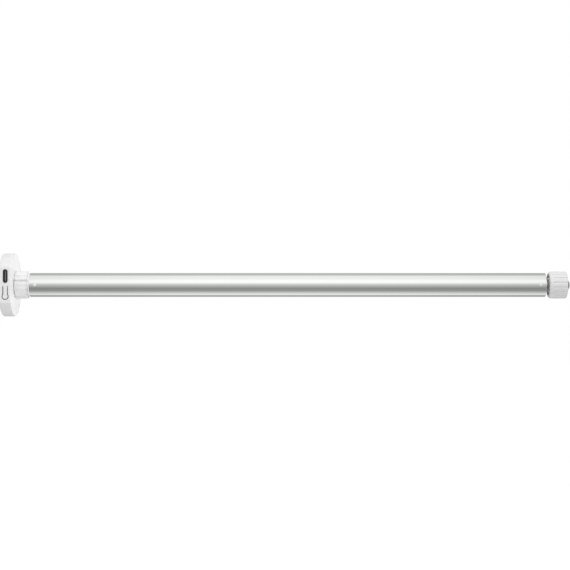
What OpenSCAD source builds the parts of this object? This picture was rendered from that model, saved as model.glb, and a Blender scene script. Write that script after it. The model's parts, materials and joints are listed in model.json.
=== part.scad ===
// Battery-driven tubular motor for a roller blind.
// X runs along the motor from the head to the drive wheel, Z is up and -Y is the front with the charging port.
// The origin is the mouth of the bracket socket, on the motor's axis. Sizes are in millimetres.

/* [Head] */
// Diameter of the round head
head_d = 42; // [40:0.5:48]
// Height of the flat on the front of the head
flat_h = 24; // [22:0.5:27]
// Thickness of the head's rim wall
head_wall = 1.6; // [1.4:0.1:2.2]
// Thickness of the end cover
cover_t = 1.6; // [1.3:0.1:2.4]
// Height of the locating lip inside the cover
lip_h = 0.6; // [0.4:0.1:1]
// Thickness of the locating lip
lip_t = 1; // [0.8:0.1:1.3]
// Thickness of the floor between head and neck
floor_t = 1.2; // [1:0.1:2]
// Rounding of the head's outer edges
head_round = 0.8; // [0.3:0.1:1]
// Diameter of the posts that take the cover screws
boss_d = 5; // [4.4:0.1:5.6]
// Room between a post and the rim wall
boss_gap = 1.4; // [1.2:0.1:2]
// Diameter of the cover screws
cover_screw_d = 1.9; // [1.6:0.1:2.2]

/* [Bracket socket] */
// Diameter of the round socket that the wall bracket's pin enters
socket_d = 8; // [7:0.1:9]
// Width of the two key slots beside the socket
key_w = 2.4; // [1.8:0.1:2.6]
// Depth of the key slots beyond the socket wall
key_depth = 1.4; // [1:0.1:2]
// Wall of the hub around the key slots
hub_wall = 1.2; // [0.8:0.1:2]
// Thickness of the socket's closed end
socket_floor = 0.8; // [0.6:0.1:1.4]

/* [Charging port] */
// Width of the port's metal shell, which stands upright
port_w = 8.94; // [8.4:0.02:9.4]
// Thickness of the shell
port_t = 3.16; // [2.9:0.02:3.6]
// Depth of the shell
port_len = 7.35; // [6.4:0.05:8]
// Wall of the shell
port_wall = 0.3; // [0.2:0.05:0.4]
// Height of the port's middle above the axis
port_z = 5.8; // [5.6:0.1:6.6]
// Width of the contact tongue inside the port
port_tongue_w = 6.7; // [6.4:0.1:7]
// Thickness of the contact tongue
port_tongue_t = 0.7; // [0.6:0.05:0.9]
// Depth of the block that closes the back of the shell
port_block = 2.2; // [1.6:0.1:2.8]

/* [Setting button] */
// Depth of the pad's middle below the axis
button_z = 7.5; // [7:0.1:8]
// Diameter of the pad
pad_d = 3.5; // [3:0.1:4]
// Width of the flexing tongue that carries the pad
flex_w = 2.5; // [2:0.1:2.9]
// Thickness of the flexing tongue
flex_t = 1; // [0.8:0.05:1.2]
// Depth of the tongue's root below the axis
flex_root_z = 0.8; // [0.6:0.1:1.4]
// Width of the slot around the tongue and the pad
button_slot = 0.5; // [0.4:0.05:0.7]
// Diameter of the switch plunger
plunger_d = 2; // [1.6:0.1:2.2]
// Height of the switch body above its board
switch_h = 3.1; // [2.9:0.05:3.2]

/* [Crown] */
// Outer diameter of the crown and of the drive wheel
rim_d = 18.1; // [17.8:0.1:19]
// Length of the crown
crown_len = 8.4; // [7:0.1:12]
// Ribs around the crown
crown_ribs = 16; // [12:1:18]
// Width of the crown's deep locating slot
crown_slot_w = 0.8; // [0.5:0.1:1.2]
// Depth of the crown's deep locating slot
crown_slot_depth = 1; // [0.6:0.1:1.2]
// Angle of the deep slot above the front
crown_slot_angle = 18.6; // [0:0.1:45]

/* [Tube] */
// Outer diameter of the metal tube
tube_d = 16; // [15.8:0.1:16.6]
// Wall of the metal tube
tube_wall = 0.5; // [0.4:0.05:0.6]
// Step of the white flange outside the tube
flange_lip = 0.45; // [0.2:0.05:0.6]
// Thickness of the white flange
flange_t = 0.9; // [0.6:0.1:1.6]
// Length of the plug inside the head end of the tube
plug_len = 14; // [12:0.5:20]
// Wall of the plug
plug_wall = 1.65; // [1.5:0.05:2]
// Distance of the rivets from the ends of the tube
rivet_inset = 4; // [3:0.1:5]
// Diameter of a rivet head
rivet_head_d = 2; // [1.8:0.1:2.6]
// Diameter of a rivet shank
rivet_d = 1.4; // [1:0.1:1.6]

/* [Electronics] */
// Length of the main board
board_len = 72; // [60:0.5:90]
// Thickness of the boards
board_t = 1; // [0.8:0.1:1.2]
// Diameter of a lead
lead_d = 0.8; // [0.6:0.05:0.85]
// Thickness of the spacer between main board and battery
front_spacer_t = 4.5; // [4:0.1:6]
// Thickness of the spacer between battery and motor
rear_spacer_t = 4; // [3:0.1:6]

/* [Battery] */
// Length of one cell
cell_len = 50; // [40:0.5:65]
// Room beside the pack for the leads
pack_room = 1.4; // [1.35:0.05:1.8]
// Wall of the pack's sleeve
sleeve_wall = 0.25; // [0.2:0.05:0.4]
// Thickness of the welded links
link_t = 0.5; // [0.3:0.05:0.8]

/* [Motor] */
// Length of the motor can
can_len = 44; // [38:0.5:55]
// Thickness of the soft rings around the can
damper_t = 0.95; // [0.8:0.05:1.2]
// Wall of the motor can
can_wall = 0.7; // [0.5:0.05:0.9]
// Thickness of the magnets
magnet_t = 1.1; // [0.8:0.05:1.4]
// Gap between magnets and rotor
air_gap = 0.3; // [0.2:0.05:0.5]
// Diameter of the motor shaft
motor_shaft_d = 1; // [0.8:0.05:1.2]
// Thickness of the motor's end bell
bell_t = 5; // [4:0.1:7]
// Thickness of the flange between motor and gearbox
motor_flange_t = 2.4; // [2:0.1:3.5]

/* [Gearbox] */
// Wall of the ring gear behind its teeth
ring_wall = 1.5625; // [1.4:0.0125:1.7]
// Teeth on a sun gear
sun_teeth = 9; // [9:1:10]
// Teeth on a planet gear
planet_teeth = 18; // [16:1:18]
// Width of the first stage's planets
stage1_w = 4; // [3:0.1:6]
// Width of the second stage's planets
stage2_w = 5; // [4:0.1:8]
// Width of the third stage's planets
stage3_w = 7; // [5:0.1:9]
// Thickness of the first carrier
carrier1_t = 1.6; // [1.2:0.1:2.5]
// Thickness of the second carrier
carrier2_t = 2; // [1.4:0.1:3]
// Thickness of the output carrier
carrier3_t = 3; // [2:0.1:4]
// Diameter of the planet pins
pin_d = 1.34; // [1.2:0.02:1.5]

/* [Drive end] */
// Diameter of the output shaft
shaft_d = 6; // [5.6:0.1:6.4]
// Wall of the output bushes
bush_wall = 1.5; // [1:0.1:1.8]
// Length of one output bush
bush_len = 6; // [4:0.1:8]
// Length of the bearing housing in the tube
bearing_len = 19.6; // [17:0.1:26]
// Thickness of the clip that holds the shaft
clip_t = 0.7; // [0.5:0.05:1]
// Gap between the tube and the drive wheel
wheel_gap = 2.2; // [2:0.1:5]
// Length of the drive wheel
wheel_len = 12; // [9:0.1:16]
// Ribs around the drive wheel
wheel_ribs = 18; // [16:1:18]
// Length of the plain band at the wheel's inner edge
wheel_band = 2; // [1.2:0.1:2.6]
// Depth of the hollow in the wheel's inner side
wheel_hollow = 5.6; // [3:0.1:6.4]
// Thickness of the wheel's ribbed wall
wheel_wall = 2; // [1.6:0.1:2.4]
// Diameter of the shaft inside the wheel
drive_d = 5; // [4.6:0.1:5.2]
// Diameter of the drive screw's head
screw_head_d = 6.2; // [5.6:0.1:7]
// Height of the drive screw's head
screw_head_h = 2.1; // [1.6:0.1:2.6]
// Diameter of the drive screw's shank
screw_d = 2.4; // [2:0.1:2.8]

/* [Clearances] */
// Radial clearance of pressed and pushed fits
fit_gap = 0.05; // [0.03:0.01:0.08]
// Radial clearance of running fits
run_gap = 0.04; // [0.03:0.01:0.06]
// Clearance between pieces that pass each other
free_gap = 0.3; // [0.2:0.02:0.4]

/* [Hidden] */
$fn = 72;

// Overlap that joins the volumes of one solid
join = 0.1;

// Head, from the outer face inwards
head_r = head_d / 2;
flat_y = sqrt(head_r * head_r - flat_h * flat_h / 4);
cavity_r = head_r - head_wall;
cavity_y = flat_y - head_wall;
port_gap = 0.24;
head_board_pad = 0.2;
head_board_r = cavity_r - 1.8;
radio_len = 10;
radio_w = 5.6;
radio_h = 2.4;
radio_rim = 4;
x_head_board = cover_t + lip_h + port_gap + port_t;
x_head_board_end = x_head_board + board_t;
x_floor = x_head_board_end + head_board_pad;
head_t = x_floor + floor_t;
port_x = x_head_board - port_t / 2;
port_inset = 0.15;
port_mouth_y = -flat_y + port_inset;
port_cut_gap = 0.1;

// Posts and screws of the end cover
boss_r = cavity_r - boss_gap - boss_d / 2;
boss_angles = [0, 105, -105];
boss_clear = 0.3;
screw_head_r = cover_screw_d;
screw_sink = 0.1;
screw_clear = 0.1;
screw_foot = 0.5;

// Bracket socket
hub_d = socket_d + 2 * (key_depth + hub_wall);
hub_gap = 0.6;
x_hub_end = x_head_board - hub_gap;
socket_depth = x_hub_end - socket_floor;

// Setting button and its switch
hinge_y = -flat_y + flex_t / 2;
flex_inner_y = -flat_y + flex_t;
plunger_gap = 0.12;
plunger_out = 0.9;
plunger_in = 0.8;
plunger_room = 0.5;
switch_y = flex_inner_y + plunger_gap + plunger_out;
switch_w = 4.5;
switch_d = 3.5;

// Neck, crown and tube plug
tube_bore = tube_d - 2 * tube_wall;
plug_d = tube_bore - 2 * fit_gap;
plug_bore = plug_d - 2 * plug_wall;
stub_d = plug_bore - 2 * fit_gap;
neck_step = 0.75;
journal_d = stub_d + 2 * neck_step;
x_crown = head_t + free_gap;
x_crown_end = x_crown + crown_len;
crown_end_gap = 0.2;
x_flange = x_crown_end + crown_end_gap;
flange_d = tube_d + 2 * flange_lip;
x_tube = x_flange + flange_t;
stub_len = 9;
x_stub_end = x_tube + stub_len;
plug_step = 0.2;
crown_edge = 0.5;

// Ribs of the crown and of the drive wheel: round flutes between the crests
flute_r = 0.7;
flute_depth = 0.45;
flute_at = rim_d / 2 - flute_depth + flute_r;

// Main board, held by the plug and the front spacer
x_plug_end = x_tube + plug_len;
plug_slot = 3;
spacer_slot = 2;
slot_gap = 0.1;
x_board = x_plug_end - plug_slot + slot_gap;
x_board_end = x_board + board_len;
board_edge = 0.4;
board_w = 2 * (tube_bore / 2 - board_edge);
spacer_d = plug_d - 0.1;
driver_w = board_w / 2;
driver_h = 1.2;
controller_w = 0.36 * board_w;
controller_h = 1;
choke_w = 0.42 * board_w;
choke_h = board_w / 4;
charger_w = 0.42 * board_w;
charger_h = 1;
cap_lift = 0.05;
cap_room = 0.95;
cap_d = tube_bore / 2 - board_t / 2 - cap_lift - cap_room;
cap_len = 1.5 * cap_d;
socket_l = 5;
socket_w = 0.56 * board_w;
socket_h = 2.5;
x_front_spacer = x_board_end - spacer_slot;
x_front_spacer_end = x_front_spacer + front_spacer_t;

// Wires between the head and the main board
signal_d = 0.9;
signal_pitch = 1.2;
signal_y = board_t / 2 + signal_d / 2 + 0.03;
signal_foot = 6;
wire_bore = 2 * (norm([1.5 * signal_pitch, signal_y]) + signal_d / 2) + 1;

// Battery pack, pushed to the back of the tube so that leads pass in front
sleeve_d = tube_bore - pack_room;
cell_d = sleeve_d - 2 * (sleeve_wall + fit_gap);
pack_gap = 0.1;
pack_y = pack_room / 2 - pack_gap;
cells = 3;
x_cells = x_front_spacer_end + link_t;
x_pack_end = x_cells + cells * cell_len + (cells - 1) * link_t;
x_rear_spacer = x_pack_end + link_t;
x_rear_spacer_end = x_rear_spacer + rear_spacer_t;
cell_nub_d = 5;
cell_nub_h = 0.6;
link_w = 5;
link_tab_w = 1.4;

// Leads along the front of the pack: motor pair, encoder four and battery pair
lead_wall_gap = 0.15;
lead_r = tube_bore / 2 - lead_wall_gap - lead_d / 2;
lead_step = 12;
motor_lead_angles = [-lead_step / 2, lead_step / 2];
encoder_lead_angles = [-2.5 * lead_step, -1.5 * lead_step, 1.5 * lead_step, 2.5 * lead_step];
battery_lead_angles = [-3.5 * lead_step, 3.5 * lead_step];
lead_cut_y = -lead_r * cos(3.5 * lead_step) + lead_d;
lead_pitch = 1.6;
lead_land_y = -board_t / 2 - lead_d / 2 - 0.03;
lead_bend = 14;
lead_foot = 3;
lead_bend_gap = 0.6;
bend_rings = 10;

// Encoder and motor
encoder_gap = 1.5;
x_encoder = x_rear_spacer_end + encoder_gap;
x_encoder_end = x_encoder + board_t;
encoder_edge = 0.2;
encoder_r = tube_bore / 2 - encoder_edge;
magnet_gap = 1.2;
encoder_magnet_t = 2;
encoder_magnet_d = 6;
x_magnet = x_encoder_end + magnet_gap;
x_magnet_end = x_magnet + encoder_magnet_t;
bell_gap = 0.6;
x_bell = x_magnet_end + bell_gap;
x_can = x_bell + bell_t;
x_can_end = x_can + can_len;
can_d = plug_d - 2 * damper_t;
can_bore = can_d - 2 * can_wall;
can_front = 1.2;
bell_spigot = 1.5;
bush_d = 4;
motor_bush_len = 3;
bush_proud = 0.6;
magnet_r = can_bore / 2 - 0.02;
magnet_edge = 0.35 * magnet_r;
magnet_room = 16;
magnet_end_gap = 2;
magnet_len = can_len - magnet_room;
rotor_r = magnet_r - magnet_t - air_gap;
rotor_back = 10;
rotor_front = 7;
x_rotor = x_can + rotor_back;
x_rotor_end = x_can_end - rotor_front;
pole_w = 0.55 * rotor_r;
pole_tip = rotor_r / 4;
pole_opening = 0.27 * rotor_r;
rotor_hub_d = 0.78 * rotor_r;
winding_gap = 0.1;
winding_inset = 1;
commutator_d = 3.6;
commutator_len = 3.5;
x_commutator = x_can + bell_spigot + 0.6;
brush_gap = 0.06;
terminal_len = 1.6;
terminal_w = 0.8;
damper_w = 4;
damper_inset = 2;
post_d = 1.4;
post_r = 5.2;
x_shaft = x_magnet - 0.2;

// Planet gears: the ring is fixed, the sun drives and the carrier leads to the next sun
ring_teeth = sun_teeth + 2 * planet_teeth;
pressure = 25;
addendum = 0.8;
dedendum = 1.05;
gear_m = (plug_d - 2 * ring_wall) / (ring_teeth + 2 * dedendum);
thinning = 0.24 * gear_m;
centre_r = gear_m * (sun_teeth + planet_teeth) / 2;
pin_gap = 0.03;
planet_bore = pin_d + 2 * pin_gap;
carrier_clear = 0.2;
carrier_d = gear_m * (ring_teeth - 2 * addendum) - 2 * carrier_clear;
flank_steps = 3;
planets = 3;
planet_slots = sun_teeth + ring_teeth;
x_ring = x_can_end + motor_flange_t;
x_stage1 = x_ring + free_gap;
x_carrier1 = x_stage1 + stage1_w + free_gap;
x_carrier1_end = x_carrier1 + carrier1_t;
x_stage2 = x_carrier1_end + free_gap;
x_carrier2 = x_stage2 + stage2_w + free_gap;
x_carrier2_end = x_carrier2 + carrier2_t;
x_stage3 = x_carrier2_end + free_gap;
x_carrier3 = x_stage3 + stage3_w + free_gap;
x_carrier3_end = x_carrier3 + carrier3_t;
ring_end_gap = 0.4;
x_ring_end = x_carrier3_end + ring_end_gap;
pin_end_gap = 0.1;
flange_hole_d = 4.4;
flange_screw_d = 1.4;
flange_screw_head_d = 2.4;
flange_screw_head_h = 0.8;
flange_screw_r = 4.5;

// Output shaft, bushes and drive wheel
x_bearing = x_ring_end;
x_tube_end = x_bearing + bearing_len;
output_bush_d = shaft_d + 2 * (run_gap + bush_wall);
bearing_bore = shaft_d + 1;
x_clip = x_tube_end + 0.2;
clip_groove_gap = 0.05;
clip_depth = 0.5;
clip_d = shaft_d + 2.4;
x_wheel = x_tube_end + wheel_gap;
x_wheel_end = x_wheel + wheel_len;
wheel_edge = 1.5;
band_step = 0.1;
wheel_end_edge = 0.8;
hub_out_d = drive_d + 4.6;
drive_flat = 0.4 * drive_d;
shaft_short = 0.5;
screw_len = 9;
screw_tip_gap = 0.4;
recess_w = 0.9;
recess_len = 3.4;
recess_depth = 1;
rivet_angles = [180, 60, -60];
rivet_foot_gap = 0.25;
rivet_root = stub_d / 2 + rivet_foot_gap;
rivet_crown = 0.3;

// Colours
white = [0.93, 0.93, 0.92];
bright = [0.78, 0.79, 0.79];
steel = [0.62, 0.63, 0.65];
brass = [0.78, 0.64, 0.32];
copper = [0.72, 0.42, 0.22];
board_green = [0.1, 0.32, 0.2];
black = [0.1, 0.1, 0.11];
dark = [0.22, 0.22, 0.24];
nylon = [0.88, 0.87, 0.82];
wrap_blue = [0.16, 0.3, 0.55];

// Round bar along X
module rod(x0, x1, d) {
  translate([x0, 0, 0]) rotate([0, 90, 0]) cylinder(d = d, h = x1 - x0);
}

// Round pipe along X
module pipe(x0, x1, d_out, d_in) {
  difference() {
    rod(x0, x1, d_out);
    rod(x0 - 1, x1 + 1, d_in);
  }
}

// Outline in Y and Z drawn out along X
module slab(x0, x1) {
  translate([x0, 0, 0]) rotate([90, 0, 90]) linear_extrude(x1 - x0) children();
}

// Outline in X and downwards Z drawn out along Y
module block_y(y0, y1) {
  translate([0, y0, 0]) rotate([-90, 0, 0]) linear_extrude(y1 - y0) children();
}

// Profile of [x, r] points turned about the X axis
module turned(points) {
  rotate([0, 90, 0]) rotate_extrude() polygon([for (p = points) [p[1], p[0]]]);
}

// Place at polar position in the plane across the motor, angle from +Y towards +Z
module at_polar(angle, r) {
  translate([0, r * cos(angle), r * sin(angle)]) children();
}

// Turn about the motor's axis
module spun(angle) {
  rotate([angle, 0, 0]) children();
}

function arc(cx, cr, r, a0, a1) =
  [for (i = [0:6]) let (a = a0 + (a1 - a0) * i / 6) [cx + r * cos(a), cr + r * sin(a)]];

// Circle with the front cut to a flat
module d_outline(r, f) {
  intersection() {
    circle(r = r);
    translate([-f, -2 * r]) square([f + 4 * r, 4 * r]);
  }
}

// Upright outline with round ends
module upright_slot(w, t) {
  square([t, w - t], center = true);
  for (s = [-1, 1]) translate([0, s * (w - t) / 2]) circle(d = t);
}

// Head volume between two planes, with its outer edges rounded where it ends
module head_volume(x0, x1, e0, e1) {
  c0 = 0.6 * e0;
  c1 = 0.6 * e1;
  intersection() {
    turned(concat(
      [[x0, 0]],
      e0 > 0 ? arc(x0 + e0, head_r - e0, e0, 180, 90) : [[x0, head_r]],
      e1 > 0 ? arc(x1 - e1, head_r - e1, e1, 90, 0) : [[x1, head_r]],
      [[x1, 0]]
    ));
    translate([0, 0, -2 * head_r]) linear_extrude(4 * head_r) polygon([
      [x0 - 1, -flat_y + c0 + (c0 > 0 ? 1 : 0)],
      [x0 + c0, -flat_y],
      [x1 - c1, -flat_y],
      [x1 + 1, -flat_y + c1 + (c1 > 0 ? 1 : 0)],
      [x1 + 1, 2 * head_r],
      [x0 - 1, 2 * head_r]
    ]);
  }
}

// Opening that leaves the tongue and the pad free
module button_opening() {
  block_y(-flat_y - 1, -cavity_y + 0.5) {
    translate([port_x - flex_w / 2 - button_slot, flex_root_z])
      square([flex_w + 2 * button_slot, button_z - flex_root_z]);
    translate([port_x, button_z]) circle(d = pad_d + 2 * button_slot);
  }
  translate([port_x, hinge_y, -flex_root_z]) rotate([0, 90, 0])
    cylinder(d = flex_t + 2 * fit_gap, h = flex_w + 2 * fit_gap, center = true);
}

// Rim cup with its floor, screw posts and the neck that the crown turns on
module head_base() {
  color(white) difference() {
    union() {
      difference() {
        head_volume(cover_t, head_t, 0, head_round);
        slab(cover_t - 1, x_floor) d_outline(cavity_r, cavity_y);
      }
      pipe(x_floor - head_board_pad, x_floor + join, 2 * (boss_r - boss_d / 2 - 0.5), 2 * (boss_r - boss_d / 2 - 2));
      for (a = boss_angles) at_polar(a, boss_r) rod(cover_t, x_floor + join, boss_d);
      rod(head_t - join, x_flange, journal_d);
      rod(x_flange - join, x_stub_end, stub_d);
    }
    rod(x_floor - 1, x_stub_end + 1, wire_bore);
    block_y(-flat_y - 1, -cavity_y + 0.5) translate([port_x, -port_z])
      upright_slot(port_w + 2 * port_cut_gap, port_t + 2 * port_cut_gap);
    button_opening();
    for (a = boss_angles) at_polar(a, boss_r)
      rod(cover_t - 1, x_floor - screw_foot + 0.2, cover_screw_d + 2 * fit_gap);
  }
}

// Countersunk hole for a cover screw
module cover_screw_hole() {
  r = screw_head_r + screw_sink + screw_clear;
  s = cover_screw_d / 2 + screw_clear;
  turned([[-1, 0], [-1, r], [0, r], [r - s, s], [cover_t + 1, s], [cover_t + 1, 0]]);
}

// End cover with the keyed socket for the wall bracket
module head_cover() {
  color(white) difference() {
    union() {
      head_volume(0, cover_t, head_round, 0);
      slab(cover_t - join, cover_t + lip_h) difference() {
        d_outline(cavity_r - 2 * fit_gap, cavity_y - 2 * fit_gap);
        d_outline(cavity_r - 2 * fit_gap - lip_t, cavity_y - 2 * fit_gap - lip_t);
      }
      rod(cover_t - join, x_hub_end, hub_d);
    }
    rod(-1, socket_depth, socket_d);
    translate([-1, -key_w / 2, -socket_d / 2 - key_depth])
      cube([socket_depth + 1, key_w, socket_d + 2 * key_depth]);
    for (a = boss_angles) at_polar(a, boss_r) cover_screw_hole();
  }
}

// Countersunk cover screws
module head_screws() {
  s = cover_screw_d / 2;
  end = x_floor - screw_foot;
  color(steel) for (a = boss_angles) at_polar(a, boss_r) difference() {
    turned([[screw_sink, 0], [screw_sink, screw_head_r], [screw_sink + screw_head_r - s, s], [end, s], [end, 0]]);
    translate([screw_sink - 1, -1.1, -0.25]) cube([1.5, 2.2, 0.5]);
    translate([screw_sink - 1, -0.25, -1.1]) cube([1.5, 0.5, 2.2]);
  }
}

// Tongue that bends at its root, with the round pad that is pressed
module setting_button() {
  color(white) {
    slab(port_x - flex_w / 2, port_x + flex_w / 2) {
      translate([hinge_y, -flex_root_z]) circle(d = flex_t);
      translate([-flat_y, -button_z]) square([flex_t, button_z - flex_root_z]);
    }
    block_y(-flat_y, flex_inner_y) translate([port_x, button_z]) circle(d = pad_d);
  }
}

// Metal shell of the charging port
module port_shell() {
  color(steel) block_y(port_mouth_y, port_mouth_y + port_len) translate([port_x, -port_z]) difference() {
    upright_slot(port_w, port_t);
    upright_slot(port_w - 2 * port_wall, port_t - 2 * port_wall);
  }
}

// Contact tongue and the block that closes the shell
module port_tongue() {
  back = port_mouth_y + port_len;
  color(dark) {
    block_y(back - port_block, back) translate([port_x, -port_z])
      upright_slot(port_w - 2 * (port_wall + fit_gap), port_t - 2 * (port_wall + fit_gap));
    block_y(port_mouth_y + 0.7, back - port_block + join) translate([port_x, -port_z])
      square([port_tongue_t, port_tongue_w], center = true);
  }
}

// Round board of the head
module head_board() {
  color(board_green) slab(x_head_board, x_head_board_end) difference() {
    d_outline(head_board_r, cavity_y - 0.3);
    for (a = boss_angles) translate([boss_r * cos(a), boss_r * sin(a)]) circle(d = boss_d + 2 * boss_clear);
  }
}

// Shielded radio module beside the hub
module radio_module() {
  color(steel) translate([x_head_board - radio_h, 0, head_board_r - radio_rim - radio_w])
    cube([radio_h, radio_len, radio_w]);
}

// Side-pressed switch behind the pad
module button_switch() {
  color(black) difference() {
    translate([x_head_board - switch_h, switch_y, -button_z - switch_w / 2]) cube([switch_h, switch_d, switch_w]);
    translate([port_x, switch_y - 1, -button_z]) rotate([-90, 0, 0])
      cylinder(d = plunger_d + 2 * run_gap, h = 1 + plunger_in + plunger_room);
  }
}

// Plunger of the switch
module switch_plunger() {
  color(nylon) translate([port_x, switch_y - plunger_out, -button_z]) rotate([-90, 0, 0])
    cylinder(d = plunger_d, h = plunger_out + plunger_in);
}

// Four wires from the head board to the main board
module signal_wires() {
  color([0.75, 0.7, 0.2]) for (i = [0:3]) translate([0, signal_y, (i - 1.5) * signal_pitch])
    rod(x_head_board_end, x_board + signal_foot, signal_d);
}

// Round flutes that leave the ribs standing
module flutes(x0, x1, count, phase) {
  for (i = [0:count - 1]) at_polar(phase + i * 360 / count, flute_at) rod(x0, x1, 2 * flute_r);
}

// Free-running ribbed crown with one deep locating slot
module crown_ring() {
  e = crown_edge;
  r = rim_d / 2;
  color(white) difference() {
    turned(concat(
      [[x_crown, 0]],
      arc(x_crown + e, r - e, e, 180, 90),
      arc(x_crown_end - e, r - e, e, 90, 0),
      [[x_crown_end, 0]]
    ));
    rod(x_crown - 1, x_crown_end + 1, journal_d + 2 * run_gap);
    flutes(x_crown - 1, x_crown_end + 1, crown_ribs, 180 - crown_slot_angle);
    spun(180 - crown_slot_angle) translate([x_crown - 1, r - crown_slot_depth, -crown_slot_w / 2])
      cube([crown_len + 2, crown_slot_depth + 1, crown_slot_w]);
  }
}

// Holes for the rivets at one end of the tube
module rivet_holes(x) {
  for (a = rivet_angles) spun(a) translate([x, rivet_root - 0.1, 0]) rotate([-90, 0, 0])
    cylinder(d = rivet_d + 2 * fit_gap, h = tube_d);
}

// Plug in the head end of the tube, whose white flange keeps the crown on
module tube_plug() {
  slot = board_t + 2 * slot_gap;
  e = 0.2;
  color(white) difference() {
    union() {
      turned([
        [x_flange, 0],
        [x_flange, flange_d / 2 - e],
        [x_flange + e, flange_d / 2],
        [x_tube - e, flange_d / 2],
        [x_tube, flange_d / 2 - e],
        [x_tube, 0]
      ]);
      rod(x_tube - join, x_plug_end, plug_d);
    }
    rod(x_flange - 1, x_stub_end + plug_step, plug_bore);
    rod(x_flange - 1, x_plug_end + 1, wire_bore);
    translate([x_plug_end - plug_slot, -slot / 2, -plug_d]) cube([plug_slot + 1, slot, 2 * plug_d]);
    rivet_holes(x_tube + rivet_inset);
  }
}

// Bright metal tube
module motor_tube() {
  color(bright) difference() {
    pipe(x_tube, x_tube_end, tube_d, tube_bore);
    rivet_holes(x_tube + rivet_inset);
    rivet_holes(x_tube_end - rivet_inset);
  }
}

// Rivets at both ends of the tube
module tube_rivets() {
  h = tube_d / 2;
  color(bright) for (x = [x_tube + rivet_inset, x_tube_end - rivet_inset], a = rivet_angles)
    spun(a) translate([x, 0, 0]) rotate([-90, 0, 0]) rotate_extrude() polygon([
      [0, rivet_root],
      [rivet_d / 2, rivet_root],
      [rivet_d / 2, h],
      [rivet_head_d / 2, h],
      [0.8 * rivet_head_d / 2, h + 0.6 * rivet_crown],
      [0.45 * rivet_head_d / 2, h + rivet_crown],
      [0, h + rivet_crown]
    ]);
}

// Long board with the charger, the controller and the motor driver
module main_board() {
  color(board_green) translate([x_board, -board_t / 2, -board_w / 2]) cube([board_len, board_t, board_w]);
}

// Parts soldered to both sides of the main board
module board_chips() {
  y = board_t / 2;
  color(dark) {
    translate([x_board + board_len / 6, y, -driver_w / 2]) cube([driver_w, driver_h, driver_w]);
    translate([x_board + board_len * 0.32, y, -controller_w / 2]) cube([controller_w, controller_h, controller_w]);
    translate([x_board + board_len * 0.45, y, -choke_w / 2]) cube([choke_w, choke_h, choke_w]);
    translate([x_board + board_len / 9, -y - charger_h, -charger_w / 2]) cube([charger_w, charger_h, charger_w]);
    translate([x_board + board_len / 4, -y - cap_lift - cap_d / 2, 0]) rod(0, cap_len, cap_d);
    translate([x_board + board_len * 0.45, -y - socket_h, -socket_w / 2]) cube([socket_l, socket_h, socket_w]);
  }
}

// Disc across the tube, open in front for the leads
module spacer_disc(x0, x1) {
  slab(x0, x1) intersection() {
    circle(d = spacer_d);
    translate([lead_cut_y, -spacer_d]) square([2 * spacer_d, 2 * spacer_d]);
  }
}

// Spacer that holds the end of the main board in front of the battery
module front_spacer() {
  slot = board_t + 2 * slot_gap;
  color(black) difference() {
    spacer_disc(x_front_spacer, x_front_spacer_end);
    translate([x_front_spacer - 1, -slot / 2, -spacer_d])
      cube([1 + spacer_slot + slot_gap, slot, 2 * spacer_d]);
  }
}

// One round cell with its raised pole
module battery_cell(k) {
  x = x_cells + k * (cell_len + link_t);
  r = cell_d / 2;
  e = 0.4;
  body = cell_len - cell_nub_h;
  color(wrap_blue) translate([0, pack_y, 0]) turned([
    [x, 0],
    [x, r - e],
    [x + e, r],
    [x + body - e, r],
    [x + body, r - e],
    [x + body, cell_nub_d / 2],
    [x + cell_len, cell_nub_d / 2],
    [x + cell_len, 0]
  ]);
}

module battery_cell_1() {
  battery_cell(0);
}

module battery_cell_2() {
  battery_cell(1);
}

module battery_cell_3() {
  battery_cell(2);
}

// Welded link that reaches out to a lead
module end_link(x, angle) {
  translate([x, pack_y - link_w / 2, -link_w / 2]) cube([link_t, link_w, link_w]);
  spun(180 - angle) translate([x, 0, -link_tab_w / 2]) cube([link_t, lead_r + lead_d / 2, link_tab_w]);
}

// Links between the cells and at both ends of the pack
module battery_links() {
  color(steel) {
    end_link(x_cells - link_t, battery_lead_angles[1]);
    for (k = [1:cells - 1])
      translate([x_cells + k * (cell_len + link_t) - link_t, pack_y - link_w / 2, -link_w / 2])
        cube([link_t, link_w, link_w]);
    end_link(x_pack_end, battery_lead_angles[0]);
  }
}

// Shrunk sleeve around the cells
module battery_sleeve() {
  color([0.1, 0.35, 0.3]) translate([0, pack_y, 0])
    pipe(x_cells, x_pack_end, sleeve_d, sleeve_d - 2 * sleeve_wall);
}

// Ease from 0 to 1
function ease(t) = t * t * (3 - 2 * t);

// Route of a lead from the board along the front of the tube, as [x, y, z] points
function lead_route(angle, slot, x_end) =
  let (
    far = [-lead_r * cos(angle), lead_r * sin(angle)],
    near = [lead_land_y, slot * lead_pitch],
    x1 = x_front_spacer - lead_bend_gap,
    x0 = x1 - lead_bend
  )
  concat(
    [[x0 - lead_foot, near[0], near[1]]],
    [for (i = [0:bend_rings])
      let (t = i / bend_rings, p = near + (far - near) * ease(t)) [x0 + lead_bend * t, p[0], p[1]]],
    [[x_end, far[0], far[1]]]
  );

function unit(v) = v / norm(v);

// Ring of points around a route's point, square to the route
function lead_ring(route, i) =
  let (
    last = len(route) - 1,
    dir = unit(route[min(i + 1, last)] - route[max(i - 1, 0)]),
    t = i == 0 || i == last ? [1, 0, 0] : dir,
    u = unit(cross(t, [0, 0, 1])),
    v = cross(t, u)
  )
  [for (k = [0:7]) route[i] + lead_d / 2 * (cos(45 * k) * u + sin(45 * k) * v)];

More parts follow.
